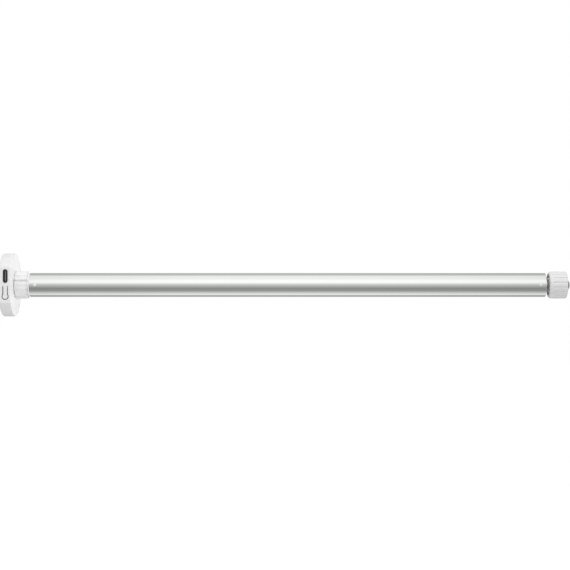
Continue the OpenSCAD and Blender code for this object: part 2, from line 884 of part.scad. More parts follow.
// Round lead swept along its route
module lead(route) {
  n = len(route);
  points = [for (i = [0:n - 1]) each lead_ring(route, i)];
  sides = [for (i = [0:n - 2], k = [0:7])
    let (a = 8 * i + k, b = 8 * i + (k + 1) % 8)
    each [[a, b, b + 8], [a, b + 8, a + 8]]];
  polyhedron(points, concat(sides, [[for (k = [7:-1:0]) k]], [[for (k = [0:7]) 8 * (n - 1) + k]]));
}

// Battery leads: the near end of the pack and the far end
module battery_leads() {
  color([0.75, 0.1, 0.1]) {
    lead(lead_route(battery_lead_angles[1], 3.5, x_cells - link_t));
    lead(lead_route(battery_lead_angles[0], -3.5, x_pack_end));
  }
}

// Spacer between the battery and the motor
module rear_spacer() {
  color(black) spacer_disc(x_rear_spacer, x_rear_spacer_end);
}

// Motor pair and encoder four along the pack
module motor_leads() {
  color([0.85, 0.75, 0.2]) {
    for (i = [0, 1]) lead(lead_route(motor_lead_angles[i], i - 0.5, x_bell - terminal_len));
    for (i = [0:3]) lead(lead_route(encoder_lead_angles[i], [-2.5, -1.5, 1.5, 2.5][i], x_encoder));
  }
}

// Board with the sensors beside the encoder magnet
module encoder_board() {
  notch = 2 * (lead_r * sin(lead_step / 2) + lead_d);
  color(board_green) {
    slab(x_encoder, x_encoder_end) difference() {
      circle(r = encoder_r);
      translate([-2 * encoder_r, -notch / 2]) square([2 * encoder_r - lead_r + lead_d, notch]);
    }
    translate([x_encoder_end - join, -1, 1.5]) cube([0.9 + join - 0.3, 2, 1.6]);
  }
}

// Ring magnet on the rear end of the motor shaft
module encoder_magnet() {
  color(dark) pipe(x_magnet, x_magnet_end, encoder_magnet_d, motor_shaft_d + 2 * fit_gap);
}

// Plastic end bell with the rear bush and the posts of the encoder board
module motor_endbell() {
  color(black) difference() {
    union() {
      rod(x_bell, x_can, can_d);
      rod(x_can - join, x_can + bell_spigot, can_bore - 2 * fit_gap);
      for (s = [-1, 1]) translate([0, 0, s * post_r]) rod(x_encoder_end, x_bell + join, post_d);
    }
    rod(x_bell - 1, x_can + bell_spigot + 1, motor_shaft_d + 1);
    rod(x_can + bell_spigot - motor_bush_len, x_can + bell_spigot + 1, bush_d + 2 * fit_gap);
  }
}

// Brushes on the commutator and the terminals that take the leads
module motor_brushes() {
  r = commutator_d / 2 + brush_gap;
  color(copper) {
    for (s = [0, 180]) spun(90 + s) translate([x_can + bell_spigot, r, -0.8]) cube([commutator_len - 0.5, 2, 1.6]);
    for (a = motor_lead_angles) translate([
      x_bell - terminal_len,
      -lead_r * cos(a) - lead_d / 2,
      lead_r * sin(a) - terminal_w / 2
    ]) cube([terminal_len, lead_d + 1.6, terminal_w]);
  }
}

// Drawn steel can of the motor
module motor_can() {
  color(steel) difference() {
    rod(x_can, x_can_end, can_d);
    rod(x_can - 1, x_can_end - can_front, can_bore);
    rod(x_can_end - can_front - 1, x_can_end + 1, bush_d + 2 * fit_gap);
    for (s = [-1, 1]) translate([0, s * flange_screw_r, 0])
      rod(x_can_end - can_front - 1, x_can_end + 1, flange_screw_d + 2 * fit_gap);
  }
}

// Two curved magnets inside the can
module motor_magnets() {
  x = x_can_end - can_front - magnet_end_gap - magnet_len;
  color(dark) for (s = [0, 180]) spun(s) difference() {
    pipe(x, x + magnet_len, 2 * magnet_r, 2 * (magnet_r - magnet_t));
    translate([x - 1, -2 * magnet_r + magnet_edge, -2 * magnet_r])
      cube([magnet_len + 2, 2 * magnet_r, 4 * magnet_r]);
  }
}

// Soft rings that centre the motor in the tube
module motor_dampers() {
  color(black) for (x = [x_can + damper_inset, x_can_end - damper_inset - damper_w])
    pipe(x, x + damper_w, plug_d, can_d + 2 * fit_gap);
}

// Motor shaft from the encoder magnet to the pinion
module motor_shaft() {
  color(steel) rod(x_shaft, x_stage1 + stage1_w, motor_shaft_d);
}

// Three-pole armature core: a disc with three winding windows that open outwards between the pole tips
module rotor_core() {
  tip_r = rotor_r - pole_tip;
  color(steel) slab(x_rotor, x_rotor_end) difference() {
    circle(r = rotor_r);
    circle(d = motor_shaft_d + 2 * fit_gap);
    difference() {
      circle(r = tip_r);
      circle(d = rotor_hub_d);
      for (k = [0:2]) rotate(120 * k) translate([0, -pole_w / 2]) square([2 * rotor_r, pole_w]);
    }
    for (k = [0:2]) rotate(120 * k + 60) translate([tip_r - 0.4, -pole_opening / 2])
      square([2 * pole_tip + 0.4, pole_opening]);
  }
}

// Coils that fill the spaces beside the armature poles
module rotor_windings() {
  arm = pole_w + 2 * winding_gap;
  split = 3 * winding_gap;
  color(copper) slab(x_rotor + winding_inset, x_rotor_end - winding_inset) difference() {
    circle(r = rotor_r - pole_tip - winding_gap);
    circle(r = rotor_hub_d / 2 + winding_gap);
    for (k = [0:2]) {
      rotate(120 * k) translate([0, -arm / 2]) square([2 * rotor_r, arm]);
      rotate(120 * k + 60) translate([0, -split / 2]) square([2 * rotor_r, split]);
    }
  }
}

// Commutator under the brushes
module commutator() {
  color(copper) pipe(x_commutator, x_commutator + commutator_len, commutator_d, motor_shaft_d + 2 * fit_gap);
}

// Half the angle that a tooth fills at radius p
function half_tooth(p, r, thick) =
  let (
    base = r * cos(pressure),
    a = acos(min(1, base / max(p, base))),
    inv_p = tan(a) - a * PI / 180,
    inv_r = tan(pressure) - pressure * PI / 180
  )
  (thick / (2 * r) + inv_r - inv_p) * 180 / PI;

// Involute outline of a gear, one tooth centred on angle 0
module gear_outline(teeth, r, root, tip, thick) {
  start = max(root, r * cos(pressure));
  flank = [for (i = [0:flank_steps]) start + (tip - start) * i / flank_steps];
  low = root < start ? [root] : [];
  up = concat(low, flank);
  last = len(up) - 1;
  polygon([for (k = [0:teeth - 1], j = [0:2 * last + 1])
    let (
      p = j <= last ? up[j] : up[2 * last + 1 - j],
      side = j <= last ? -1 : 1,
      a = k * 360 / teeth + side * half_tooth(p, r, thick)
    )
    [p * cos(a), p * sin(a)]]);
}

// Outline of a gear with outer teeth
module spur_outline(teeth) {
  r = gear_m * teeth / 2;
  gear_outline(teeth, r, r - dedendum * gear_m, r + addendum * gear_m, gear_m * PI / 2 - thinning);
}

// Sun gear on the axis, one tooth towards +Y
module sun(x0, x1) {
  slab(x0, x1) spur_outline(sun_teeth);
}

// Angle of a planet: an even share of the circle, moved to where the teeth fit
function planet_angle(k) = round(k * planet_slots / planets) * 360 / planet_slots;

// Turn of a planet about its pin so that its teeth fit the sun
function planet_turn(k) = 180 - 180 / planet_teeth + planet_angle(k) * (1 + sun_teeth / planet_teeth);

// Planet gear with the bore for its pin
module planet(k, x, w) {
  color(brass) at_polar(planet_angle(k), centre_r) slab(x, x + w) difference() {
    rotate(planet_turn(k)) spur_outline(planet_teeth);
    circle(d = planet_bore);
  }
}

// Carrier disc with the pins of its planets
module carrier_disc(x0, t, x_pin) {
  rod(x0, x0 + t, carrier_d);
  for (k = [0:planets - 1]) at_polar(planet_angle(k), centre_r) rod(x_pin, x0 + join, pin_d);
}

// First sun gear, pressed on the motor shaft
module motor_pinion() {
  color(brass) difference() {
    sun(x_stage1, x_stage1 + stage1_w);
    rod(x_stage1 - 1, x_stage1 + stage1_w + 1, motor_shaft_d + 2 * fit_gap);
  }
}

// Bushes of the motor shaft
module motor_bushes() {
  x = x_can + bell_spigot;
  color(brass) {
    pipe(x - motor_bush_len, x, bush_d, motor_shaft_d + 2 * run_gap);
    pipe(x_can_end - can_front - 1.2, x_can_end + bush_proud, bush_d, motor_shaft_d + 2 * run_gap);
  }
}

// Flange between the motor and the gearbox
module motor_flange() {
  color(nylon) difference() {
    rod(x_can_end, x_ring, plug_d);
    rod(x_can_end - 1, x_ring + 1, flange_hole_d);
    for (s = [-1, 1]) translate([0, s * flange_screw_r, 0]) {
      rod(x_can_end - 1, x_ring + 1, flange_screw_d + 2 * fit_gap);
      rod(x_ring - flange_screw_head_h - 0.1, x_ring + 1, flange_screw_head_d + 4 * fit_gap);
    }
  }
}

// Screws that hold the motor to its flange
module flange_screws() {
  x = x_ring - 0.1;
  color(steel) for (s = [-1, 1]) translate([0, s * flange_screw_r, 0]) {
    rod(x - flange_screw_head_h, x, flange_screw_head_d);
    rod(x_can_end - can_front, x - flange_screw_head_h + join, flange_screw_d);
  }
}

// Fixed ring gear that all three stages share
module ring_gear() {
  r = gear_m * ring_teeth / 2;
  phase = planet_teeth % 2 == 0 ? 180 / ring_teeth : 0;
  color(nylon) slab(x_ring, x_ring_end) difference() {
    circle(d = plug_d);
    rotate(phase) gear_outline(
      ring_teeth, r, r - addendum * gear_m, r + dedendum * gear_m, gear_m * PI / 2 + thinning
    );
  }
}

module stage1_planet_1() {
  planet(0, x_stage1, stage1_w);
}

module stage1_planet_2() {
  planet(1, x_stage1, stage1_w);
}

module stage1_planet_3() {
  planet(2, x_stage1, stage1_w);
}

// First carrier with the second sun
module stage1_carrier() {
  color(steel) {
    carrier_disc(x_carrier1, carrier1_t, x_stage1 - pin_end_gap);
    sun(x_carrier1_end - join, x_stage2 + stage2_w);
  }
}

module stage2_planet_1() {
  planet(0, x_stage2, stage2_w);
}

module stage2_planet_2() {
  planet(1, x_stage2, stage2_w);
}

module stage2_planet_3() {
  planet(2, x_stage2, stage2_w);
}

// Second carrier with the third sun
module stage2_carrier() {
  color(steel) {
    carrier_disc(x_carrier2, carrier2_t, x_stage2 - pin_end_gap);
    sun(x_carrier2_end - join, x_stage3 + stage3_w);
  }
}

module stage3_planet_1() {
  planet(0, x_stage3, stage3_w);
}

module stage3_planet_2() {
  planet(1, x_stage3, stage3_w);
}

module stage3_planet_3() {
  planet(2, x_stage3, stage3_w);
}

// Output shaft with the last carrier, a clip groove and the flatted end for the wheel
module output_shaft() {
  end = x_wheel_end - shaft_short;
  color(steel) difference() {
    union() {
      carrier_disc(x_carrier3, carrier3_t, x_stage3 - pin_end_gap);
      rod(x_carrier3_end - join, x_wheel, shaft_d);
      difference() {
        rod(x_wheel - join, end, drive_d);
        translate([x_wheel, -drive_d, drive_flat]) cube([wheel_len, 2 * drive_d, drive_d]);
      }
    }
    pipe(x_clip - clip_groove_gap, x_clip + clip_t + clip_groove_gap, shaft_d + 2, shaft_d - 2 * clip_depth);
    rod(x_wheel_end - screw_len - screw_tip_gap, end + 1, screw_d + 2 * fit_gap);
  }
}

// Housing of the output bushes, held in the tube by rivets
module bearing_housing() {
  color(nylon) difference() {
    rod(x_bearing, x_tube_end, plug_d);
    rod(x_bearing - 1, x_tube_end + 1, bearing_bore);
    rod(x_bearing - 1, x_bearing + bush_len, output_bush_d + 2 * fit_gap);
    rod(x_tube_end - bush_len, x_tube_end + 1, output_bush_d + 2 * fit_gap);
    rivet_holes(x_tube_end - rivet_inset);
  }
}

// Two bushes that the output shaft runs in
module output_bushes() {
  color(brass) for (x = [x_bearing, x_tube_end - bush_len])
    pipe(x, x + bush_len, output_bush_d, shaft_d + 2 * run_gap);
}

// Open clip in the shaft's groove
module shaft_clip() {
  color(steel) difference() {
    pipe(x_clip, x_clip + clip_t, clip_d, shaft_d - 2 * clip_depth + 2 * fit_gap);
    translate([x_clip - 1, 0, -shaft_d / 4]) cube([clip_t + 2, clip_d, shaft_d / 2]);
  }
}

// Ribbed drive wheel, hollow towards the tube
module drive_wheel() {
  r = rim_d / 2;
  e = wheel_edge;
  f = wheel_end_edge;
  color(white) difference() {
    turned(concat(
      [[x_wheel, 0]],
      arc(x_wheel + e, r - band_step - e, e, 180, 90),
      [[x_wheel + wheel_band, r - band_step], [x_wheel + wheel_band, r]],
      arc(x_wheel_end - f, r - f, f, 90, 0),
      [[x_wheel_end, 0]]
    ));
    pipe(x_wheel - 1, x_wheel + wheel_hollow, rim_d - 2 * wheel_wall, hub_out_d);
    difference() {
      rod(x_wheel - 1, x_wheel_end + 1, drive_d + 2 * fit_gap);
      translate([x_wheel - 2, -drive_d, drive_flat + fit_gap]) cube([wheel_len + 4, 2 * drive_d, drive_d]);
    }
    flutes(x_wheel + wheel_band, x_wheel_end + 1, wheel_ribs, 180 + 180 / wheel_ribs);
  }
}

// Pan-head screw that holds the wheel on the shaft
module drive_screw() {
  x = x_wheel_end;
  r = screw_head_d / 2;
  h = screw_head_h;
  e = 0.55 * h;
  s = screw_d / 2;
  color(steel) difference() {
    turned(concat(
      [[x - screw_len, 0], [x - screw_len, s], [x, s], [x, r]],
      arc(x + h - e, r - e, e, 90, 0),
      [[x + h, 0]]
    ));
    translate([x + h - recess_depth, -recess_w / 2, -recess_len / 2]) cube([recess_depth + 1, recess_w, recess_len]);
    translate([x + h - recess_depth, -recess_len / 2, -recess_w / 2]) cube([recess_depth + 1, recess_len, recess_w]);
  }
}

head_base();
head_cover();
head_screws();
setting_button();
port_shell();
port_tongue();
head_board();
radio_module();
button_switch();
switch_plunger();
signal_wires();
crown_ring();
tube_plug();
motor_tube();
tube_rivets();
main_board();
board_chips();
front_spacer();
battery_cell_1();
battery_cell_2();
battery_cell_3();
battery_links();
battery_sleeve();
battery_leads();
rear_spacer();
motor_leads();
encoder_board();
encoder_magnet();
motor_endbell();
motor_brushes();
motor_can();
motor_magnets();
motor_dampers();
motor_shaft();
rotor_core();
rotor_windings();
commutator();
motor_pinion();
motor_bushes();
motor_flange();
flange_screws();
ring_gear();
stage1_planet_1();
stage1_planet_2();
stage1_planet_3();
stage1_carrier();
stage2_planet_1();
stage2_planet_2();
stage2_planet_3();
stage2_carrier();
stage3_planet_1();
stage3_planet_2();
stage3_planet_3();
output_shaft();
bearing_housing();
output_bushes();
shaft_clip();
drive_wheel();
drive_screw();
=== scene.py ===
import json
import math

import bmesh
import bpy
import numpy as np
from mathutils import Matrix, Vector


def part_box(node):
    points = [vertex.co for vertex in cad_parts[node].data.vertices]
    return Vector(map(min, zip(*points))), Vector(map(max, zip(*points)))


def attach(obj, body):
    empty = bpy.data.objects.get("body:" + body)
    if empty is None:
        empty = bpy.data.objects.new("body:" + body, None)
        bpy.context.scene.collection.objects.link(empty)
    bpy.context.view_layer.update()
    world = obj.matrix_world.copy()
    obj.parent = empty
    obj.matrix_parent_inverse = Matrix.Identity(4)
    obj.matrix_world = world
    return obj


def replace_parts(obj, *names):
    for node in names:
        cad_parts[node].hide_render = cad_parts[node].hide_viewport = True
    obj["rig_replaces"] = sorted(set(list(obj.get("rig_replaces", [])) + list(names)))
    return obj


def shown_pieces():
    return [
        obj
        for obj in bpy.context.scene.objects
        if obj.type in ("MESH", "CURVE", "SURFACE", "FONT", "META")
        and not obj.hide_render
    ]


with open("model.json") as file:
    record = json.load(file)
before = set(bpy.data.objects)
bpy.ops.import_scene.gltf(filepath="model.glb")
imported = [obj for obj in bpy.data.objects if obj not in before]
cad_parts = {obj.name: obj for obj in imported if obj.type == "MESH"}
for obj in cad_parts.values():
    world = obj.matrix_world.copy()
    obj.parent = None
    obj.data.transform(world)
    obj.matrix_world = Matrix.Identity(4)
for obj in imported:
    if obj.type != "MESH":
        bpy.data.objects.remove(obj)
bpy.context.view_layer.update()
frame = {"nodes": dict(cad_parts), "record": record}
mm = 0.001  # shapes are worked out in millimetres and put into their meshes in metres
hair = 0.0005  # faces that lie on the model's outer box stay inside it by this much
weld, sliver = 1e-7, 1e-8  # in metres: points this close are merged, and faces this thin are taken away
beyond = 10.0  # a radius times this lies well outside its shape


# camera square to the tube, level with its axis

cameraSet = {"place": (0.18785, -0.970, 0.0), "lens": 91.63, "sensor": 36.0, "clip": (0.01, 50.0)}


def makeCamera(s):
    data = bpy.data.cameras.new("frontView")
    data.lens, data.sensor_width = s["lens"], s["sensor"]
    data.clip_start, data.clip_end = s["clip"]
    camera = bpy.data.objects.new("frontView", data)
    camera.location = s["place"]
    camera.rotation_euler = (math.pi / 2, 0, 0)  # looks along +Y
    bpy.context.scene.collection.objects.link(camera)
    bpy.context.scene.camera = camera


makeCamera(cameraSet)
print("camera placed")


# profiles, grids and meshes

def nodeBox(node):
    # lowest and highest corner of a node, in millimetres
    low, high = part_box(node)
    return np.array(low) / mm, np.array(high) / mm


def turns(n):
    # n equal steps round a circle
    return np.arange(n) * (2 * math.pi / n)


def bend(x, r, size, start, end, n):
    # n points of a round or oval arc about (x, r), from one angle to another in degrees
    a = np.radians(np.linspace(start, end, n))
    wide, high = np.broadcast_to(size, 2)
    return np.column_stack([x + wide * np.cos(a), r + high * np.sin(a)])


def strung(*parts):
    # points and arcs as one line
    return np.vstack([np.atleast_2d(p) for p in parts])


def softMin(a, b, k):
    # the smaller of a and b, with the corner between them rounded over a width of k
    h = np.clip(0.5 + 0.5 * (b - a) / k, 0, 1)
    return b + (a - b) * h - k * h * (1 - h)


def smooth(t):
    # eases from 0 to 1: 3 t^2 - 2 t^3
    t = np.clip(t, 0, 1)
    return t * t * (3 - 2 * t)


def flatCut(cosine, flat, far, least=0.1):
    # distance to a flat at some angle from its normal: flat / cosine, or far where it turns away
    return np.where(cosine > least, flat / np.maximum(cosine, least), far)


def squared(turn, power):
    # a circle drawn towards a square: cosine and sine raised to a small power, with their signs kept
    c, k = np.cos(turn), np.sin(turn)
    return np.sign(c) * np.abs(c) ** power, np.sign(k) * np.abs(k) ** power


def gridOf(x, y, z):
    # grid of points from three arrays, each stretched to the common shape
    return np.stack(np.broadcast_arrays(x, y, z), axis=-1)


def rings(x, r, turn, middle=(0.0, 0.0)):
    # rings about the X axis: (x, -r cos t, r sin t), with t counted from the front upwards
    return gridOf(x, middle[0] - r * np.cos(turn), middle[1] + r * np.sin(turn))


def turned(profile, turn, middle=(0.0, 0.0)):
    # a line of (x, r) points carried round the X axis
    return rings(profile[:, :1], profile[:, 1:], turn, middle)


def pinGrid(radius, levels, n):
    # round bar along the third axis: a circle repeated at each level
    t = turns(n)
    return gridOf(radius * np.cos(t), radius * np.sin(t), np.array(levels)[:, None])


def boxGrid(levels, wide, high):
    # four-cornered bar along X: the same corners at each level
    y, z = np.array([(-1, -1), (1, -1), (1, 1), (-1, 1)]).T
    return gridOf(np.array(levels)[:, None], y * wide / 2, z * high / 2)


def skin(grid, loop=False):
    # quads over a grid of rings, and from the last ring to the first where loop is set
    rows, around = grid.shape[:2]
    i = np.arange(rows if loop else rows - 1)[:, None]
    j = np.arange(around)[None, :]
    up, on = (i + 1) % rows * around, (j + 1) % around
    quads = np.stack([i * around + j, i * around + on, up + on, up + j], axis=-1)
    return grid.reshape(-1, 3), quads.reshape(-1, 4)


def capped(grid):
    # the skin with both ends drawn together to their middles
    first, last = (np.broadcast_to(g.mean(axis=0), (1, *g.shape)) for g in (grid[0], grid[-1]))
    return skin(np.concatenate([first, grid, last]))


def joined(shapes):
    # several shapes as one, each with its faces counted on past the points before it
    starts = np.cumsum([0] + [len(points) for points, quads in shapes[:-1]])
    allPoints = np.vstack([points for points, quads in shapes])
    return allPoints, np.vstack([quads + start for (points, quads), start in zip(shapes, starts)])


def moved(shape, axes, place):
    # points p go to place + p . axes, whose rows are the new directions of the three old axes
    return shape[0] @ np.asarray(axes, float) + np.asarray(place, float), shape[1]


def closed(mesh):
    # merges the points of poles and seams, takes slivers away and turns all faces outwards
    work = bmesh.new()
    work.from_mesh(mesh)
    bmesh.ops.remove_doubles(work, verts=work.verts, dist=weld)
    bmesh.ops.dissolve_degenerate(work, edges=work.edges, dist=sliver)
    bmesh.ops.recalc_face_normals(work, faces=work.faces)
    work.to_mesh(mesh)
    work.free()
    return mesh


def meshOf(name, shape):
    mesh = bpy.data.meshes.new(name)
    mesh.from_pydata((shape[0] * mm).tolist(), [], shape[1].tolist())
    return closed(mesh)


def carve(shape, tools, how="DIFFERENCE"):
    # takes the tools out of a shape, or joins them to it
    place = bpy.context.scene.collection
    body = bpy.data.objects.new("carveBody", meshOf("carved", shape))
    place.objects.link(body)
    helpers = []
    for tool in tools:
        helper = bpy.data.objects.new("carveTool", meshOf("carver", tool))
        place.objects.link(helper)
        step = body.modifiers.new("carve", "BOOLEAN")
        step.operation, step.object, step.solver = how, helper, "EXACT"
        helpers.append(helper)
    graph = bpy.context.evaluated_depsgraph_get()
    made = bpy.data.meshes.new_from_object(body.evaluated_get(graph))
    for o in helpers + [body]:
        bpy.data.objects.remove(o)
    return closed(made)


def paintFaces(mesh, index, chosen):
    # gives the faces whose middles are chosen the finish of that index
    count = len(mesh.polygons)
    middles, marks = np.zeros(count * 3), np.zeros(count, np.int32)
    mesh.polygons.foreach_get("center", middles)
    mesh.polygons.foreach_get("material_index", marks)
    marks[chosen(middles.reshape(-1, 3) / mm)] = index
    mesh.polygons.foreach_set("material_index", marks)


def addPiece(name, mesh, body, node, finish, inner=None, innerFaces=None, sharp=32.0):
    # piece in the place of its node, smooth up to edges sharper than the angle, with its inner faces painted
    mesh.name = name
    mesh.shade_smooth()
    mesh.set_sharp_from_angle(angle=math.radians(sharp))
    mesh.materials.clear()
    mesh.materials.append(finish)
    if inner:
        mesh.materials.append(inner)
        paintFaces(mesh, 1, innerFaces)
    piece = bpy.data.objects.new(name, mesh)
    bpy.context.scene.collection.objects.link(piece)
    even = piece.modifiers.new("evenShade", "WEIGHTED_NORMAL")
    even.keep_sharp = True
    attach(piece, body)
    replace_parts(piece, node)
    print(" ", name, len(mesh.polygons), "faces")


# shader maths

class Num:
    # a socket whose sums and products add Math nodes
    def __init__(self, sheet, socket):
        self.sheet, self.socket = sheet, socket

    def calc(self, operation, a, b=0.0, clamp=False):
        return self.sheet.node("ShaderNodeMath", {"operation": operation, "use_clamp": clamp}, {0: a, 1: b})

    def __add__(self, other):
        return self.calc("ADD", self, other)

    def __radd__(self, other):
        return self.calc("ADD", other, self)

    def __sub__(self, other):
        return self.calc("SUBTRACT", self, other)

    def __rsub__(self, other):
        return self.calc("SUBTRACT", other, self)

    def __mul__(self, other):
        return self.calc("MULTIPLY", self, other)

    def __rmul__(self, other):
        return self.calc("MULTIPLY", other, self)

    def __truediv__(self, other):
        return self.calc("DIVIDE", self, other)

    def __rtruediv__(self, other):
        return self.calc("DIVIDE", other, self)

    def __gt__(self, other):
        return self.calc("GREATER_THAN", self, other)

    def __lt__(self, other):
        return self.calc("LESS_THAN", self, other)

    def clamped(self):
        return self.calc("ADD", self, 0.0, True)

    def other(self, name):
        # another output of the same node
        return Num(self.sheet, self.socket.node.outputs[name])


class Sheet:
    # a node tree, and the one way to put a node into it
    def __init__(self, tree):
        self.tree = tree
        tree.nodes.clear()

    def node(self, kind, settings=None, values=None, out=0):
        made = self.tree.nodes.new(kind)
        for key, value in (settings or {}).items():
            if key == "stops":
                while len(made.color_ramp.elements) < len(value):
                    made.color_ramp.elements.new(0.5)
                for element, (at, tone) in zip(made.color_ramp.elements, value):
                    element.position = at
                    element.color = (tone, tone, tone, 1)
            else:
                setattr(made, key, value)
        for key, value in (values or {}).items():
            if isinstance(value, Num):
                self.tree.links.new(value.socket, made.inputs[key])
            elif isinstance(value, tuple) and len(value) == 3 and made.inputs[key].type == "RGBA":
                made.inputs[key].default_value = (*value, 1)
            else:
                made.inputs[key].default_value = value
        return Num(self, made.outputs[out]) if made.outputs else made

    def blend(self, mask, low, high):
        # colour between low and high
        return self.node("ShaderNodeMix", {"data_type": "RGBA"}, {0: mask, 6: low, 7: high}, 2)

    def noise(self, place, scale, detail=3.0, roughness=0.5):
        return self.node("ShaderNodeTexNoise", None, {
            "Vector": place, "Scale": scale, "Detail": detail, "Roughness": roughness})

    def contrast(self, noise, gain):
        # noise spread out about its middle
        return ((noise - 0.5) * gain + 0.5).clamped()

    def shared(self, first, second, share):
        # the first pattern by its share, and the second by the rest
        return first * share + second * (1 - share)

    def place(self, stretch=(1.0, 1.0, 1.0)):
        # the piece's own coordinates in metres, stretched
        own = self.node("ShaderNodeTexCoord", None, None, "Object")
        return self.node("ShaderNodeMapping", None, {"Vector": own, "Scale": stretch})

    def relief(self, strength, depth, height):
        return self.node("ShaderNodeBump", None, {"Strength": strength, "Distance": depth, "Height": height})


def newFinish(name):
    finish = bpy.data.materials.new(name)
    finish.use_nodes = True
    return finish, Sheet(finish.node_tree)


def surface(sheet, values):
    shader = sheet.node("ShaderNodeBsdfPrincipled", None, values)
    sheet.node("ShaderNodeOutputMaterial", None, {"Surface": shader})


def mouldedFinish(name, s):
    # moulded plastic: fine grain in relief and gloss, with a faint broad drift of tone
    finish, sheet = newFinish(name)
    place = sheet.place()
    drift = sheet.contrast(sheet.noise(place, s["drift"], detail=2.0), s["driftGain"])
    grain = sheet.noise(place, s["grain"], detail=4.0, roughness=0.6)
    speck = sheet.contrast(sheet.noise(place, s["grain"] * s["speckScale"], detail=2.0), s["speckGain"])
    tone = sheet.blend(sheet.shared(drift, speck, s["driftShare"]), s["low"], s["high"])
    gloss = s["rough"] + (drift - 0.5) * s["roughDrift"] + (grain - 0.5) * s["roughGrain"]
    relief = sheet.relief(s["relief"], s["depth"], grain)
    surface(sheet, {"Base Color": tone, "Roughness": gloss, "Normal": relief, "IOR": s["ior"]})
    return finish


def streakedFinish(name, s):
    # drawn or turned metal: long streaks along one direction in tone, gloss and relief
    finish, sheet = newFinish(name)
    streak = sheet.contrast(sheet.noise(sheet.place(s["stretch"]), s["streak"], roughness=0.65), s["gain"])
    cloud = sheet.contrast(sheet.noise(sheet.place(), s["cloud"]), s["gain"])
    tone = sheet.blend(sheet.shared(streak, cloud, s["streakShare"]), s["low"], s["high"])
    gloss = s["rough"] + streak * s["roughStreak"] + cloud * s["roughCloud"]
    relief = sheet.relief(s["relief"], s["depth"], streak)
    surface(sheet, {"Base Color": tone, "Roughness": gloss, "Metallic": s["metal"], "Normal": relief})
    return finish


def boardFinish(name, s):
    # circuit board: solder mask over raised tracks along the borders of square cells, and tinned pads
    finish, sheet = newFinish(name)
    place = sheet.place()
    cells = {"Vector": place, "Scale": s["tracks"]}
    nearest = sheet.node("ShaderNodeTexVoronoi", {"distance": "MANHATTAN"}, cells)
    second = sheet.node("ShaderNodeTexVoronoi", {"distance": "MANHATTAN", "feature": "F2"}, cells)
    track = (second - nearest) < s["trackWide"]
    dots = sheet.node("ShaderNodeTexVoronoi", None, {
        "Vector": place, "Scale": s["pads"], "Randomness": s["padStray"]})
    pad = dots < s["padWide"]
    tone = sheet.blend(pad, sheet.blend(track, s["mask"], s["maskOver"]), s["tin"])
    relief = sheet.relief(s["relief"], s["depth"], track + pad)
    gloss = s["rough"] + track * s["roughTrack"]
    surface(sheet, {"Base Color": tone, "Roughness": gloss, "Metallic": pad, "Normal": relief})
    return finish


def bandedFinish(name, s):
    # wound wire and wrapped film: bands across the axis
    finish, sheet = newFinish(name)
    place = sheet.place()
    band = sheet.node("ShaderNodeTexWave", {"wave_type": "BANDS", "bands_direction": s["along"]}, {
        "Vector": place, "Scale": s["bands"], "Distortion": s["waver"], "Detail": 2.0}, "Fac")
    drift = sheet.contrast(sheet.noise(place, s["drift"], detail=2.0), s["driftGain"])
    tone = sheet.blend(sheet.shared(band, drift, s["bandShare"]), s["low"], s["high"])
    gloss = s["rough"] + drift * s["roughDrift"]
    relief = sheet.relief(s["relief"], s["depth"], band)
    surface(sheet, {"Base Color": tone, "Roughness": gloss, "Metallic": s["metal"], "Normal": relief})
    return finish


def plastic(name, low, high, **changes):
    s = {"low": low, "high": high, "drift": 120.0, "driftGain": 1.6, "driftShare": 0.7, "grain": 2600.0,
         "speckScale": 0.3, "speckGain": 2.0, "rough": 0.45, "roughDrift": 0.08, "roughGrain": 0.12,
         "relief": 0.22, "depth": 0.00004, "ior": 1.5}
    return mouldedFinish(name, {**s, **changes})


def metal(name, low, high, stretch, **changes):
    s = {"low": low, "high": high, "stretch": stretch, "streak": 6.0, "streakShare": 0.6, "cloud": 250.0,
         "gain": 1.5, "rough": 0.24, "roughStreak": 0.12, "roughCloud": 0.08, "relief": 0.12,
         "depth": 0.00002, "metal": 1.0}
    return streakedFinish(name, {**s, **changes})


def wrapped(name, low, high, **changes):
    s = {"low": low, "high": high, "along": "X", "bands": 80.0, "bandShare": 0.6, "waver": 2.0,
         "drift": 120.0, "driftGain": 1.6, "rough": 0.36, "roughDrift": 0.12, "metal": 0.0,
         "relief": 0.1, "depth": 0.00002}
    return bandedFinish(name, {**s, **changes})


# one finish for each slot of the record

